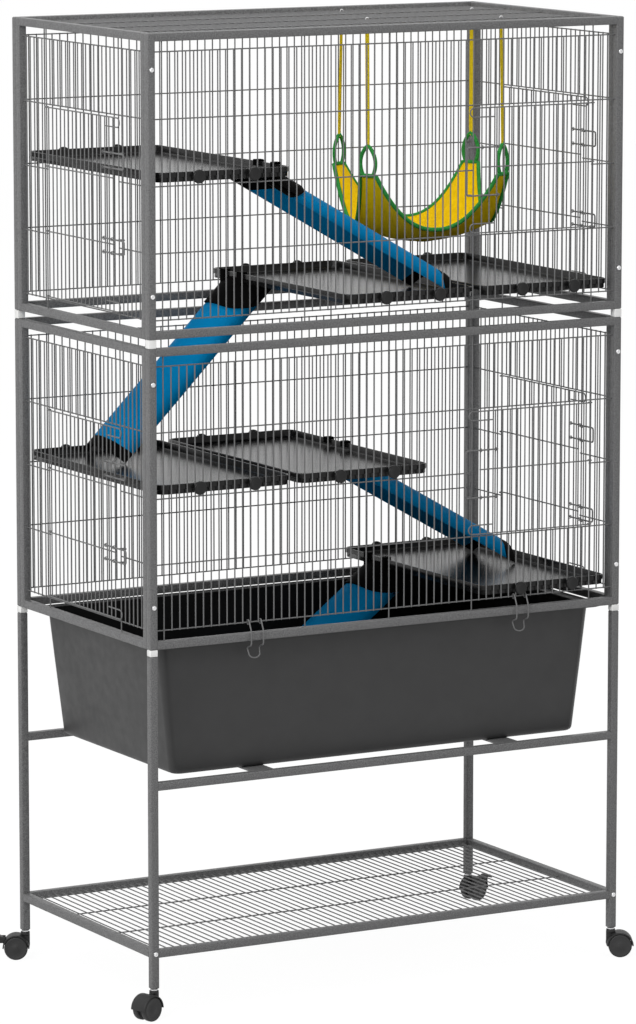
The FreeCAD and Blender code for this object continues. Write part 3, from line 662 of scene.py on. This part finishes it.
# Dark and light colour, then for plastics roughness, size and depth of the grain, and specular level
frame_paint = painted("frame_paint", 0.065, 0.18, cell=1.8, depth=0.12)
wire_paint = painted("wire_paint", 0.1, 0.15, cell=1.1, depth=0.05)
plug_white = moulded("plug_white", (0.78, 0.78, 0.77), (0.86, 0.86, 0.85), 0.45, 0.8, 0.03)
bolt_steel = steel("bolt_steel")
shelf_black = moulded("shelf_black", grey(0.008), grey(0.011), 0.22, 0.9, 0.003, 0.22, marks=0.04)
clip_black = moulded("clip_black", grey(0.008), grey(0.012), 0.34, 0.7, 0.02, 0.25)
ramp_blue = moulded("ramp_blue", (0.0015, 0.185, 0.42), (0.0022, 0.21, 0.47), 0.5, 0.8, 0.02, 0.01)
ramp_black = moulded("ramp_end_black", grey(0.0025), grey(0.0045), 0.45, 0.7, 0.02, 0.003)
tray_grey = moulded("tray_grey", grey(0.029), grey(0.033), 0.46, 0.9, 0.03, 0.4)
# The tray's inside is the same grey plastic as its outside, painted nearly black with little specular:
# painted shade
tray_painted_shade = moulded("tray_inside", grey(0.004), grey(0.007), 0.6, 0.9, 0.03, 0.08)
caster_black = moulded("caster_black", grey(0.022), grey(0.029), 0.5, 0.6, 0.03, 0.25)
wheel_black = moulded("wheel_black", grey(0.027), grey(0.034), 0.5, 0.6, 0.03, 0.3)
# The hammock's upper and under faces are one yellow fleece in two copies; the under face's copy is set
# lighter to offset its shade: painted light
fleece_yellow = fleece("hammock_yellow", (0.78, 0.49, 0.001), (0.88, 0.58, 0.002))
fleece_under_painted_light = fleece("hammock_under_painted_light", (0.8, 0.55, 0.001), (0.9, 0.64, 0.002))
binding_green = webbing("binding_green", (0.02, 0.22, 0.035), (0.035, 0.33, 0.06), thread=0.8)
strap_yellow = webbing("strap_yellow", (0.68, 0.5, 0.005), (0.82, 0.62, 0.01), thread=0.9)


# Cage panels: local X along the panel, -Y outside, Z up from the cage's foot

def side_place(side, foot):
    turn, sx, sy = cage_sides[side]
    return placed(sx * post_x, sy * post_y, foot, turn)


def column(gap, gaps, pitch):
    return (gap - gaps / 2) * pitch


class Door:
    """Where the door on one side of a cage hangs and closes, along its panel."""

    def __init__(self, side):
        if side == "front":
            gaps, self.pitch, ends = front_gaps, front_pitch, front_door_gaps
            self.low_row, self.latches, self.reach = 1, front_latches, front_latch_reach
        else:
            gaps, self.pitch, ends = side_gaps, side_pitch, side_door_gaps
            self.low_row, self.latches, self.reach = 0, side_latches, side_latch_reach
        mirror = -1 if side == "left" else 1
        self.hinge, self.latch = (mirror * column(gap, gaps, self.pitch) for gap in ends)
        self.toward = copysign(1, self.hinge - self.latch)

    def upright_x(self, number):
        """Place of an upright, counted from the latch wire."""
        return self.latch + self.toward * self.pitch * number


def panel_tubes(shape, length):
    post = length / 2
    for low, high in ((-post, -post + tube), (post - tube, post)):
        shape.bar((low, -half_tube, 0), (high, half_tube, cage_height), tube_round)
    inner = post - tube + tube_round
    for z in (0, cage_height - tube):
        shape.bar((-inner, -half_tube, z), (inner, half_tube, z + tube), tube_round)


def upright(shape, x, low, high, y=-weld_shift):
    shape.wire(((x, y, low), (x, y, high)), wire)


def row_wire(shape, z, low, high):
    shape.wire(((low, weld_shift, z), (high, weld_shift, z)), wire)


def panel_wires(shape, side):
    long_side = side in ("front", "back")
    gaps, pitch = (front_gaps, front_pitch) if long_side else (side_gaps, side_pitch)
    risers = {"front": front_risers, "back": back_risers}.get(side, ())
    end = gaps * pitch / 2 + tube_round
    foot, top = tube - tube_round, cage_height - tube + tube_round
    door = None if side == "back" else Door(side)
    near, far = sorted((door.hinge, door.latch)) if door else (0, 0)
    for gap in range(1, gaps):
        x = column(gap, gaps, pitch)
        if not door or not near - same_place < x < far + same_place:
            tall = gap in risers
            upright(shape, x, foot if tall else rows[0] - wire, top if tall else rows[-1] + wire)
        elif abs(x - door.hinge) < same_place:
            upright(shape, x, foot, top, 0)
        elif abs(x - door.latch) < same_place:
            upright(shape, x, foot, top)
        else:
            upright(shape, x, rows[door_high_row] - wire, rows[-1] + wire)
            if door.low_row:
                upright(shape, x, rows[0] - wire, rows[door.low_row] + wire)
    for index, z in enumerate(rows):
        if not door or not door.low_row < index < door_high_row:
            row_wire(shape, z, -end, end)
        else:
            row_wire(shape, z, -end, near + wire)
            row_wire(shape, z, far - wire, end)


def make_panel(side, cage):
    name = f"{cage}_{side}"
    place = side_place(side, cages[cage])
    tubes = Shape(place)
    panel_tubes(tubes, frame_width if side in ("front", "back") else side_length)
    tubes.piece(f"{name}_tubes", [frame_paint], "frame", "frame_paint", f"{name}_panel")
    wires = Shape(place)
    panel_wires(wires, side)
    wires.piece(f"{name}_wires", [wire_paint], "frame", "wire_paint", f"{name}_panel")


def hinge_end(door, z):
    """Loop of a door bar round the hinge wire, and the start of its straight run."""
    loop = []
    for share in even(bend_steps):
        angle = radians(hinge_turn * (1 - share))
        loop.append((door.hinge + door.toward * hinge_loop * sin(angle), -hinge_loop * cos(angle), z))
    return loop + [(door.hinge - door.toward * hinge_run, -door_layer, z)]


def bent_end(door, z, rise):
    """Far end of the lowest or highest door bar, which turns back past the latch wire."""
    bend_x = door.latch - door.toward * (bend_reach - bend_radius - wire)
    path = []
    for share in even(bend_steps):
        angle = pi * share
        path.append((bend_x - door.toward * bend_radius * sin(angle), -door_layer,
                     z + rise * bend_radius * (1 - cos(angle))))
    return path + [(door.latch + door.toward * bend_return, -door_layer, z + 2 * rise * bend_radius)]


def make_door(side, cage):
    name = f"{cage}_{side}_door"
    door = Door(side)
    shape = Shape(side_place(side, cages[cage]))
    heights = [rows[door.low_row] + door_rise]
    heights += [z + door_mid_rise for z in rows[door.low_row + 1:door_high_row]]
    heights.append(rows[door_high_row] - door_drop)
    count = round(abs(door.hinge - door.latch) / door.pitch)
    for i in range(1, count):
        upright(shape, door.upright_x(i), heights[0] - wire, heights[-1] + wire, -door_layer)
    for z in heights:
        if z == heights[0]:
            far = bent_end(door, z, 1)
        elif z == heights[-1]:
            far = bent_end(door, z, -1)
        else:
            far = [(door.latch + door.toward * (door.pitch - wire), -door_layer, z)]
        shape.wire(hinge_end(door, z) + far, wire)
    for pair in door.latches:
        for z in pair:
            for index in staple_columns:
                x = door.upright_x(index)
                corners = ((x, -door_layer, z - staple_half), (x, -staple_reach, z - staple_half),
                           (x, -staple_reach, z + staple_half), (x, -door_layer, z + staple_half))
                shape.wire(rounded_path(corners, staple_bend), staple_wire, thin_sides)
    shape.piece(f"{name}_wires", [wire_paint], name, "wire_paint", name)


def make_latches(side, cage):
    door = Door(side)
    handle = door.latch - door.toward * (door.reach + wire)
    inside = door.latch + door.toward * latch_inside
    hook = door.latch - door.toward * latch_hook
    for number, (low, high) in enumerate(door.latches, 1):
        name = f"{cage}_{side}_latch_{number}"
        shape = Shape(side_place(side, cages[cage]))
        loop = ((inside, -latch_layer, low), (handle, -latch_layer, low), (handle, -latch_layer, high),
                (inside, -latch_layer, high))
        shape.wire(rounded_path(loop, latch_bend), latch_wire)
        for z in (low, high):
            route = ((hook, -latch_layer, z), (hook, latch_hook_depth, z),
                     (hook - door.toward * latch_tip, latch_hook_depth, z))
            shape.wire(rounded_path(route, latch_hook_bend), latch_wire)
        shape.piece(f"{name}_wire", [wire_paint], name, "wire_paint", name)


# Roof, stand and base

def flat_wires(shape, z, cross, shift):
    """Wires along Y, and a few cross wires that lie above them where shift is positive."""
    reach = side_length / 2 + tube_round
    for gap in range(1, front_gaps):
        x = column(gap, front_gaps, front_pitch)
        shape.wire(((x, -reach, z - shift), (x, reach, z - shift)), wire)
    end = inner_width / 2 + tube_round
    for i in range(cross):
        y = side_length * ((i + 1) / (cross + 1) - 0.5)
        shape.wire(((-end, y, z + shift), (end, y, z + shift)), wire)


def square_post(shape, x, y, half, low, high, bevel):
    shape.bar((x - half, y - half, low), (x + half, y + half, high), bevel)


def cross_tubes(shape, z):
    end = inner_width / 2 + tube_round
    for y in (-post_y, post_y):
        shape.bar((-end, y - half_tube, z - half_tube), (end, y + half_tube, z + half_tube), tube_round)


def make_roof():
    shape = Shape()
    flat_wires(shape, roof_z, roof_cross_wires, weld_shift)
    shape.piece("roof_wires", [wire_paint], "frame", "wire_paint", "roof_grid")


def make_stand():
    legs = Shape()
    for x, y in posts:
        square_post(legs, x, y, half_tube, leg_foot, leg_top, tube_round)
    legs.piece("stand_tubes", [frame_paint], "frame", "frame_paint", "stand_legs")
    rails = Shape()
    cross_tubes(rails, rail_z)
    reach = post_y - half_tube + tube_round
    half = strip_width / 2
    top = rail_z + half_tube
    for x in (-strip_x, strip_x):
        rails.bar((x - half, -reach, top - strip_thickness), (x + half, reach, top), strip_round)
    rails.piece("tray_rail_tubes", [frame_paint], "frame", "frame_paint", "tray_rails")


def make_base():
    tubes = Shape()
    cross_tubes(tubes, base_height)
    low, high = base_height - half_tube, base_height + half_tube
    reach = (side_length + tube_round) / 2
    for x in (-post_x, post_x):
        tubes.bar((x - half_tube, -reach, low), (x + half_tube, reach, high), tube_round)
    tubes.piece("base_tubes", [frame_paint], "frame", "frame_paint", "base_shelf")
    wires = Shape()
    flat_wires(wires, base_height, base_cross_wires, -weld_shift)
    wires.piece("base_wires", [wire_paint], "frame", "wire_paint", "base_shelf")


def make_plugs():
    shape = Shape()
    for x, y in posts:
        for low, high in plug_levels:
            square_post(shape, x, y, half_tube, low, high, plug_round)
            square_post(shape, x, y, spigot_half, low - spigot_reach, high + spigot_reach, spigot_round)
    shape.piece("post_plug_caps", [plug_white], "frame", "plug_white", "post_plugs")


# Shelves

def shelf_place(name):
    row, gap = shelves[name]
    return column(gap + shelf_middle_gap, front_gaps, front_pitch), row + shelf_rise


def make_shelf(name):
    x, z = shelf_place(name)
    shape = Shape(placed(x, 0, z, 0))
    rings = [rounded_ring(shelf_width - 2 * inset, shelf_depth - 2 * inset, shelf_corner - inset, height)
             for inset, height in shelf_section]
    shape.loft(rings)
    shape.piece(f"{name}_moulding", [shelf_black], "frame", "shelf_black", name)


def make_shelf_clips():
    shape = Shape()
    seat = post_y + wire + clip_gap
    root = shelf_depth / 2 - shank_sink
    shank = ((0, clip_shank), (shank_length, clip_shank))
    for name in shelves:
        gap = shelves[name][1]
        z = shelf_place(name)[1] + shelf_rim / 2
        for index in (gap, gap + clip_span):
            x = column(index + 0.5, front_gaps, front_pitch)
            for turn in (-1, 1):
                shape.lathe(clip_section, (x, turn * seat, z), (0, turn, 0))
                shape.lathe(shank, (x, turn * root, z), (0, turn, 0), small_sides)
    shape.piece("shelf_clip_knobs", [clip_black], "frame", "clip_black", "shelf_clips")


# Ramps: local X out from the shelf's edge, Z up from the top of its rim

def ramp_start(height, slope):
    """How far up the slope a line of the arch may start without meeting the shelf."""
    beside = (shelf_clear - height * sin(slope)) / cos(slope)
    below = (height * cos(slope) + shelf_rim + shelf_clear - ramp_hang) / sin(slope)
    return max(-ramp_tuck, min(beside, below))


def arch_point(along, angle, radius, slope):
    """Point on a round surface about the ramp's axis; angle 0 is its crest."""
    height = radius * cos(angle) - ramp_radius
    return Vector((along * cos(slope) + height * sin(slope), radius * sin(angle),
                   -along * sin(slope) + height * cos(slope) - ramp_hang))


def arch_shell(shape, slope, inner, outer, depth, begin, finish, roll=1.0):
    """Curved plate between two radii.

    begin and finish give each line's ends from its share out from the crest and its height. Below 1, roll is
    the share beyond which one wide facet lets the shading roll round the edge.
    """
    shares = [roll * (2 * share - 1) for share in even(arch_steps)]
    if roll < 1:
        shares = [-1.0] + shares + [1.0]
    around = []
    for radius, order in ((outer, 1), (inner, -1)):
        half = acos((ramp_radius - depth) / radius)
        around += [(radius, half * share, abs(share)) for share in shares[::order]]
    rings = []
    for part in even(arch_lengths):
        ring = []
        for radius, angle, share in around:
            height = radius * cos(angle) - ramp_radius
            low, high = begin(share, height), finish(share, height)
            ring.append(arch_point(low + (high - low) * part, angle, radius, slope))
        rings.append(ring)
    shape.loft(rings)


def ramp_hooks(shape, slope, seat):
    """Two tabs over the shelf's rim, each with a lip inside the rim and a back down to the saddle."""
    for middle in hook_tabs:
        near, far = middle - hook_tab_half, middle + hook_tab_half
        shape.bar((hook_inner, near, hook_under), (hook_outer, far, hook_top), hook_round)
        shape.bar((hook_inner, near, hook_lip_foot), (hook_lip_end, far, hook_shoulder), hook_round)
        rings = []
        for share in even(hook_steps):
            y = near + (far - near) * share
            height = sqrt((seat + saddle_thickness / 2) ** 2 - y ** 2) - ramp_radius
            low = (height - hook_middle * sin(slope)) / cos(slope) - ramp_hang
            rings.append([(hook_back, y, low), (hook_outer, y, low),
                          (hook_outer, y, hook_shoulder - hook_chamfer),
                          (hook_outer - hook_chamfer, y, hook_shoulder), (hook_back, y, hook_shoulder)])
        shape.loft(rings)


def make_ramp(name, hung_on, end, foot_on, middle):
    x, z = shelf_place(hung_on)
    rim = z + shelf_rim
    floor = tray_foot + tray_wall if foot_on == "tray" else shelf_place(foot_on)[1] + shelf_floor
    drop = rim - ramp_hang - floor - ramp_rest_gap
    slope = asin(drop / hypot(ramp_length, ramp_rise)) - atan2(ramp_rise, ramp_length)
    place = placed(x + end * shelf_width / 2, middle, rim, 0 if end > 0 else 180)

    def tucked(share, height):
        return ramp_start(height, slope)

    def seam(share, height):
        return saddle_length - seam_lap - seam_round * share ** seam_power

    def past_seam(share, height):
        return seam(share, height) + seam_gap

    def saddle_end(share, height):
        return saddle_length - saddle_round * share ** seam_power

    def straight(along):
        return lambda share, height: along

    skin = (ramp_radius - ramp_thickness, ramp_radius, ramp_rise)
    foot_seam = ramp_length - ramp_foot
    arch = Shape(place)
    arch_shell(arch, slope, *skin, past_seam, straight(foot_seam), ramp_roll)
    arch.piece(f"{name}_arch", [ramp_blue], name, "ramp_blue", name, soft=True)
    ends = Shape(place)
    seat = ramp_radius + saddle_gap
    arch_shell(ends, slope, *skin, tucked, seam)
    arch_shell(ends, slope, seat, seat + saddle_thickness, saddle_depth, tucked, saddle_end)
    ramp_hooks(ends, slope, seat)
    arch_shell(ends, slope, *skin, straight(foot_seam + seam_gap), straight(ramp_length))
    ends.piece(f"{name}_saddle_and_foot", [ramp_black], name, "ramp_end_black", f"{name}_ends")


# Tray and its clips

def tray_ring(height, inset, corner):
    share = height / tray_height
    width = tray_base[0] + (tray_top[0] - tray_base[0]) * share - 2 * inset
    depth = tray_base[1] + (tray_top[1] - tray_base[1]) * share - 2 * inset
    return rounded_ring(width, depth, corner, height)


def rim_ring(height, inset):
    return rounded_ring(tray_rim[0] - 2 * inset, tray_rim[1] - 2 * inset, tray_corner - inset, height)


def make_tray():
    shape = Shape(placed(0, 0, tray_foot, 0))
    outside = [tray_ring(*spot) for spot in tray_outside]
    outside += [rim_ring(*spot) for spot in tray_lip]
    outside += [tray_ring(*spot, tray_corner) for spot in tray_mouth]
    inside = [outside[-1]] + [tray_ring(*spot) for spot in tray_inside]
    shape.loft(outside, caps=False)
    shape.cap(outside[0])
    # Inside faces take the copy of the tray plastic that carries painted shade
    shape.slot = 1
    shape.loft(inside, caps=False)
    shape.cap(inside[-1])
    shape.merge()
    shape.piece("tray_moulding", [tray_grey, tray_painted_shade], "tray", "tray_grey", "tray")


def make_tray_clip(name, x):
    """Wire clip with two eyes on the lowest front wire, a hook at the rim and a finger loop."""
    shape = Shape(placed(x, -post_y, lower_foot, 0))
    turns = [radians(eye_start + eye_turn * share) for share in even(eye_steps)]
    for side in (-clip_half, clip_half):
        eye = [(side, -eye_radius * cos(t), row_foot + eye_radius * sin(t)) for t in turns]
        shape.wire(eye[::-1], clip_wire)
        arm = [(side, *spot) for spot in arm_route] + [(side * arm_narrow, 0.0, arm_low)]
        shape.wire(rounded_path(arm, arm_bend), clip_wire)
    half = clip_half * arm_narrow
    loop = [(half * cos(t), -finger_lean * sin(t), arm_low - finger_drop * sin(t))
            for t in (pi * share for share in even(eye_steps))]
    shape.wire(loop, clip_wire)
    shape.piece(f"{name}_wire", [wire_paint], name, "wire_paint", name)


# Hammock

def hammock_outline():
    """Shares along the two sides and climb to the corners: four long edges and four cut corners."""
    corner = 1 - hammock_cut
    points = []
    for quarter in range(4):
        turn = Matrix.Rotation(radians(90 * quarter), 2)
        for share in even(hammock_steps):
            v = corner * (2 * share - 1)
            place = turn @ Vector((1.0, v))
            points.append((place.x, place.y, abs(v / corner) ** hammock_climb))
        for share in even(cut_steps)[1:-1]:
            place = turn @ Vector((1 - hammock_cut * share, corner + hammock_cut * share))
            points.append((place.x, place.y, 1.0))
    return points


def hammock_point(u, v, climb, share):
    """Point of the cloth from its place in the outline and its share of the way out to the edge."""
    reach = share / (1 - hammock_cut / 2)
    a = u * reach * (1 - hammock_scallop * (1 - v ** 2))
    b = v * reach * (1 - hammock_scallop * (1 - u ** 2))
    spot = Vector((0.0, 0.0))
    for corner, (su, sv) in zip(hammock_corners, ((-1, -1), (1, -1), (1, 1), (-1, 1))):
        spot += Vector(corner) * (1 + su * a) * (1 + sv * b) / 4
    top = hammock_edge + (hammock_corner - hammock_edge) * climb
    return Vector((spot.x, spot.y, hammock_low + (top - hammock_low) * share ** hammock_sag))


def cut_corner(outline, quarter):
    """The two ends of one cut corner."""
    start = len(outline) // 4 * (quarter + 1) - cut_steps
    return [hammock_point(*outline[i % len(outline)], 1.0) for i in (start, start + cut_steps)]


def make_cloth(outline, lift):
    """Upper face, under face and the narrow face round the edge."""
    cloth = Shape()
    over = [[hammock_point(*spot, share) for spot in outline] for share in hammock_rings]
    under = [[point - lift for point in ring] for ring in over]
    cloth.loft(over, caps=False)
    cloth.cap(over[0])
    # The under face and the edge take the lighter copy of the fleece, which carries painted light
    cloth.slot = 1
    cloth.loft(under, caps=False)
    cloth.cap(under[0])
    cloth.loft([over[-1], under[-1]], caps=False)
    cloth.merge()
    return cloth.piece("hammock_fleece", [fleece_yellow, fleece_under_painted_light], "frame", "hammock_yellow",
                       "hammock_cloth")


def corner_loop(first, last, hook):
    """Sewn loop that stands on a cut corner and leans towards its hook."""
    middle = (first + last) / 2
    across = (last - first).normalized()
    half = (last - first).length / 2
    lean = (Vector((hook.x, hook.y, middle.z)) - middle) * (hammock_loop / (roof_z - hammock_corner))
    rise = lean + Vector((0, 0, hammock_loop))
    legs = []
    for share in even(loop_steps):
        width = half * (loop_foot + loop_belly * share) * (1 - share) ** loop_taper
        legs.append((width, middle + rise * share))
    path = [spot - across * width for width, spot in legs]
    return path + [spot + across * width for width, spot in legs[-2::-1]]


def make_strap(shape, low, high, across):
    """Flat webbing folded round the loop below and the hook above."""
    rings = []
    along = (high - low).normalized()
    across = (across - along * across.dot(along)).normalized()
    side = along.cross(across)
    for share, wide, thick in strap_folds:
        centre = low.lerp(high, share)
        ring = []
        for a, b in strap_section:
            ring.append(centre + across * a * strap_width * wide / 2 + side * b * strap_thickness * thick / 2)
        rings.append(ring)
    shape.loft(rings)


def make_hammock():
    outline = hammock_outline()
    lift = Vector((0, 0, hammock_thickness))
    sheet = make_cloth(outline, lift)
    trim = Shape()
    trim.wire([hammock_point(*spot, 1.0) - lift / 2 for spot in outline], binding_radius, closed=True)
    straps = Shape()
    hooks = Shape()
    for quarter in range(4):
        first, last = cut_corner(outline, quarter)
        number, depth = roof_hooks[(quarter + 2) % 4]
        hook = Vector((number * front_pitch, depth, roof_z))
        loop = corner_loop(first, last, hook)
        trim.wire(loop, loop_radius)
        make_strap(straps, loop[loop_steps] + strap_sink, hook + strap_sink, (last - first).normalized())
        route = [hook + Vector(point) for point in roof_hook_route]
        hooks.wire(rounded_path(route, roof_hook_bend), roof_hook_wire, thin_sides)
    binding = trim.piece("hammock_binding", [binding_green], "frame", "hammock_yellow")
    straps.piece("hammock_webbing", [strap_yellow], "frame", "strap_yellow", "hammock_straps")
    hooks.piece("hammock_roof_hooks", [bolt_steel], "frame", "bolt_steel")


# Casters: local Z is the swivel axis and the wheels trail along +X

def hood_shell(shape):
    half = wheel_web / 2 + wheel_gap * 2 + wheel_width
    section = [(radius, inset - half) for radius, inset in hood_edge]
    section += [(radius, half - inset) for radius, inset in hood_edge[::-1]]
    rings = []
    for share in even(hood_steps):
        angle = pi * share
        rings.append([(caster_trail + radius * cos(angle), y, wheel_radius + radius * sin(angle))
                      for radius, y in section])
    shape.loft(rings)


def make_housing(name, place, axle, with_brake):
    half_web = wheel_web / 2
    body = Shape(place)
    hood_shell(body)
    web = ((0, web_face), (web_round, web_radius), (wheel_web - web_round, web_radius), (wheel_web, web_face))
    body.lathe(web, axle - Vector((0, half_web, 0)), (0, 1, 0))
    body.bar((caster_trail - strut_half, -half_web, wheel_radius),
             (caster_trail + strut_half, half_web, wheel_radius + hood_inner + strut_lap), strut_round)
    body.bar((-hub_radius, -half_web, wheel_radius + neck_gap), (hub_radius, half_web, neck_top), neck_round)
    body.lathe(hub_section, (0, 0, hub_foot), (0, 0, 1))
    body.slot = 1
    body.lathe(stem_section, (0, 0, stem_foot), (0, 0, 1), fine_sides)
    body.slot = 0
    if with_brake:
        x, z = brake_pin
        for y in (-ear_y, ear_y):
            body.bar((x + ear_low[0], y - ear_half, z + ear_low[1]),
                     (x + ear_high[0], y + ear_half, z + ear_high[1]), ear_round)
    body.piece(f"{name}_housing", [caster_black, bolt_steel], f"{name}_swivel", "caster_black",
               f"{name}_body")


def make_wheels(name, place, axle):
    wheels = Shape(place)
    for sign in (-1, 1):
        inner_face = axle + Vector((0, sign * (wheel_web / 2 + wheel_gap), 0))
        wheels.lathe(wheel_section, inner_face, (0, sign, 0), wheel_sides)
    pin = ((0, axle_radius), (2 * axle_half, axle_radius))
    wheels.lathe(pin, axle - Vector((0, axle_half, 0)), (0, 1, 0), small_sides)
    wheels.piece(f"{name}_treads", [wheel_black], f"{name}_wheel_pair", "wheel_black", f"{name}_wheels")


def brake_rod(shape, radius, half, sides):
    """Round rod on the brake's axis with chamfered ends."""
    x, z = brake_pin
    profile = ((0, radius - rod_chamfer), (rod_chamfer, radius), (2 * half - rod_chamfer, radius),
               (2 * half, radius - rod_chamfer))
    shape.lathe(profile, (x, -half, z), (0, 1, 0), sides)


def make_pedal(name, place):
    lever = Shape(place)
    brake_rod(lever, pin_radius, pin_half, small_sides)
    brake_rod(lever, barrel_radius, barrel_half, fine_sides)
    x, z = brake_pin
    rings = []
    for y in (-pedal_half, -pedal_flat, pedal_flat, pedal_half):
        inset = pedal_inset if abs(y) > pedal_flat else 0.0
        ring = [(x + dx, y, z + dz - inset) for dx, dz in pedal_upper]
        rings.append(ring + [(x + dx, y, z + dz + inset) for dx, dz in pedal_lower])
    lever.loft(rings)
    lever.piece(f"{name}_pedal", [caster_black], f"{name}_brake_lever", "caster_black", f"{name}_brake")


def make_caster(name, corner, turn, with_brake):
    place = placed(corner[0] * post_x, corner[1] * post_y, 0, turn)
    axle = Vector((caster_trail, 0, wheel_radius))
    make_housing(name, place, axle, with_brake)
    make_wheels(name, place, axle)
    if with_brake:
        make_pedal(name, place)


# Light, floor and camera

def light_path(tree):
    """1 for rays that should see the plain background."""
    path = tree.nodes.new("ShaderNodeLightPath")
    total = path.outputs["Is Camera Ray"]
    for name in ("Is Glossy Ray", "Is Transmission Ray"):
        either = tree.nodes.new("ShaderNodeMath")
        either.operation = "MAXIMUM"
        tree.links.new(total, either.inputs[0])
        tree.links.new(path.outputs[name], either.inputs[1])
        total = either.outputs[0]
    return total


def mixed(tree, share, first, second, output):
    mix = tree.nodes.new("ShaderNodeMixShader")
    tree.links.new(share, mix.inputs["Fac"])
    tree.links.new(first.outputs[0], mix.inputs[1])
    tree.links.new(second.outputs[0], mix.inputs[2])
    tree.links.new(mix.outputs[0], tree.nodes[output].inputs["Surface"])


def make_world():
    world = bpy.data.worlds.new("studio")
    bpy.context.scene.world = world
    world.use_nodes = True
    tree = world.node_tree
    lighting = tree.nodes["Background"]
    set_inputs(lighting, {"Color": (1, 1, 1, 1), "Strength": world_strength})
    seen = tree.nodes.new("ShaderNodeBackground")
    set_inputs(seen, {"Color": (1, 1, 1, 1)})
    mixed(tree, light_path(tree), lighting, seen, "World Output")


def make_floor():
    mesh = bpy.data.meshes.new("floor")
    corners = [(sx * floor_reach, sy * floor_reach, 0) for sx, sy in ((-1, -1), (1, -1), (1, 1), (-1, 1))]
    mesh.from_pydata(corners, [], [(0, 1, 2, 3)])
    floor = bpy.data.objects.new("floor", mesh)
    bpy.context.scene.collection.objects.link(floor)
    material = bpy.data.materials.new("floor_white")
    material.use_nodes = True
    tree = material.node_tree
    tree.nodes.remove(tree.nodes["Principled BSDF"])
    plain = tree.nodes.new("ShaderNodeBsdfDiffuse")
    set_inputs(plain, {"Color": (floor_grey, floor_grey, floor_grey, 1)})
    seen = tree.nodes.new("ShaderNodeEmission")
    set_inputs(seen, {"Strength": floor_glow})
    share = tree.nodes.new("ShaderNodeMath")
    share.operation = "MULTIPLY"
    share.inputs[1].default_value = floor_share
    tree.links.new(light_path(tree), share.inputs[0])
    mixed(tree, share.outputs[0], plain, seen, "Material Output")
    mesh.materials.append(material)


def aimed(obj, place, target):
    obj.location = place
    obj.rotation_euler = (Vector(target) - Vector(place)).to_track_quat("-Z", "Y").to_euler()
    bpy.context.scene.collection.objects.link(obj)


def make_lamp(name, place, size, power):
    data = bpy.data.lights.new(name, "AREA")
    data.size = size
    data.energy = power
    aimed(bpy.data.objects.new(name, data), place, lamp_target)


def make_camera():
    data = bpy.data.cameras.new("camera")
    data.sensor_fit = "VERTICAL"
    data.sensor_height = camera_sensor
    data.lens = camera_lens
    camera = bpy.data.objects.new("camera", data)
    aimed(camera, camera_place, camera_target)
    bpy.context.scene.camera = camera


for cage in cages:
    for side in cage_sides:
        make_panel(side, cage)
    for side in ("front", "left", "right"):
        make_door(side, cage)
        make_latches(side, cage)
make_roof()
make_stand()
make_base()
make_plugs()
for shelf in shelves:
    make_shelf(shelf)
make_shelf_clips()
for ramp in ramps:
    make_ramp(*ramp)
make_tray()
make_tray_clip("tray_clip_left", -tray_clip_x)
make_tray_clip("tray_clip_right", tray_clip_x)
make_hammock()
for caster in casters:
    make_caster(*caster)
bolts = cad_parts["frame_bolts"]
bolts.data.materials.clear()
bolts.data.materials.append(bolt_steel)
make_world()
make_floor()
for lamp in lamps:
    make_lamp(*lamp)
make_camera()
bpy.context.scene.view_settings.view_transform = "Standard"
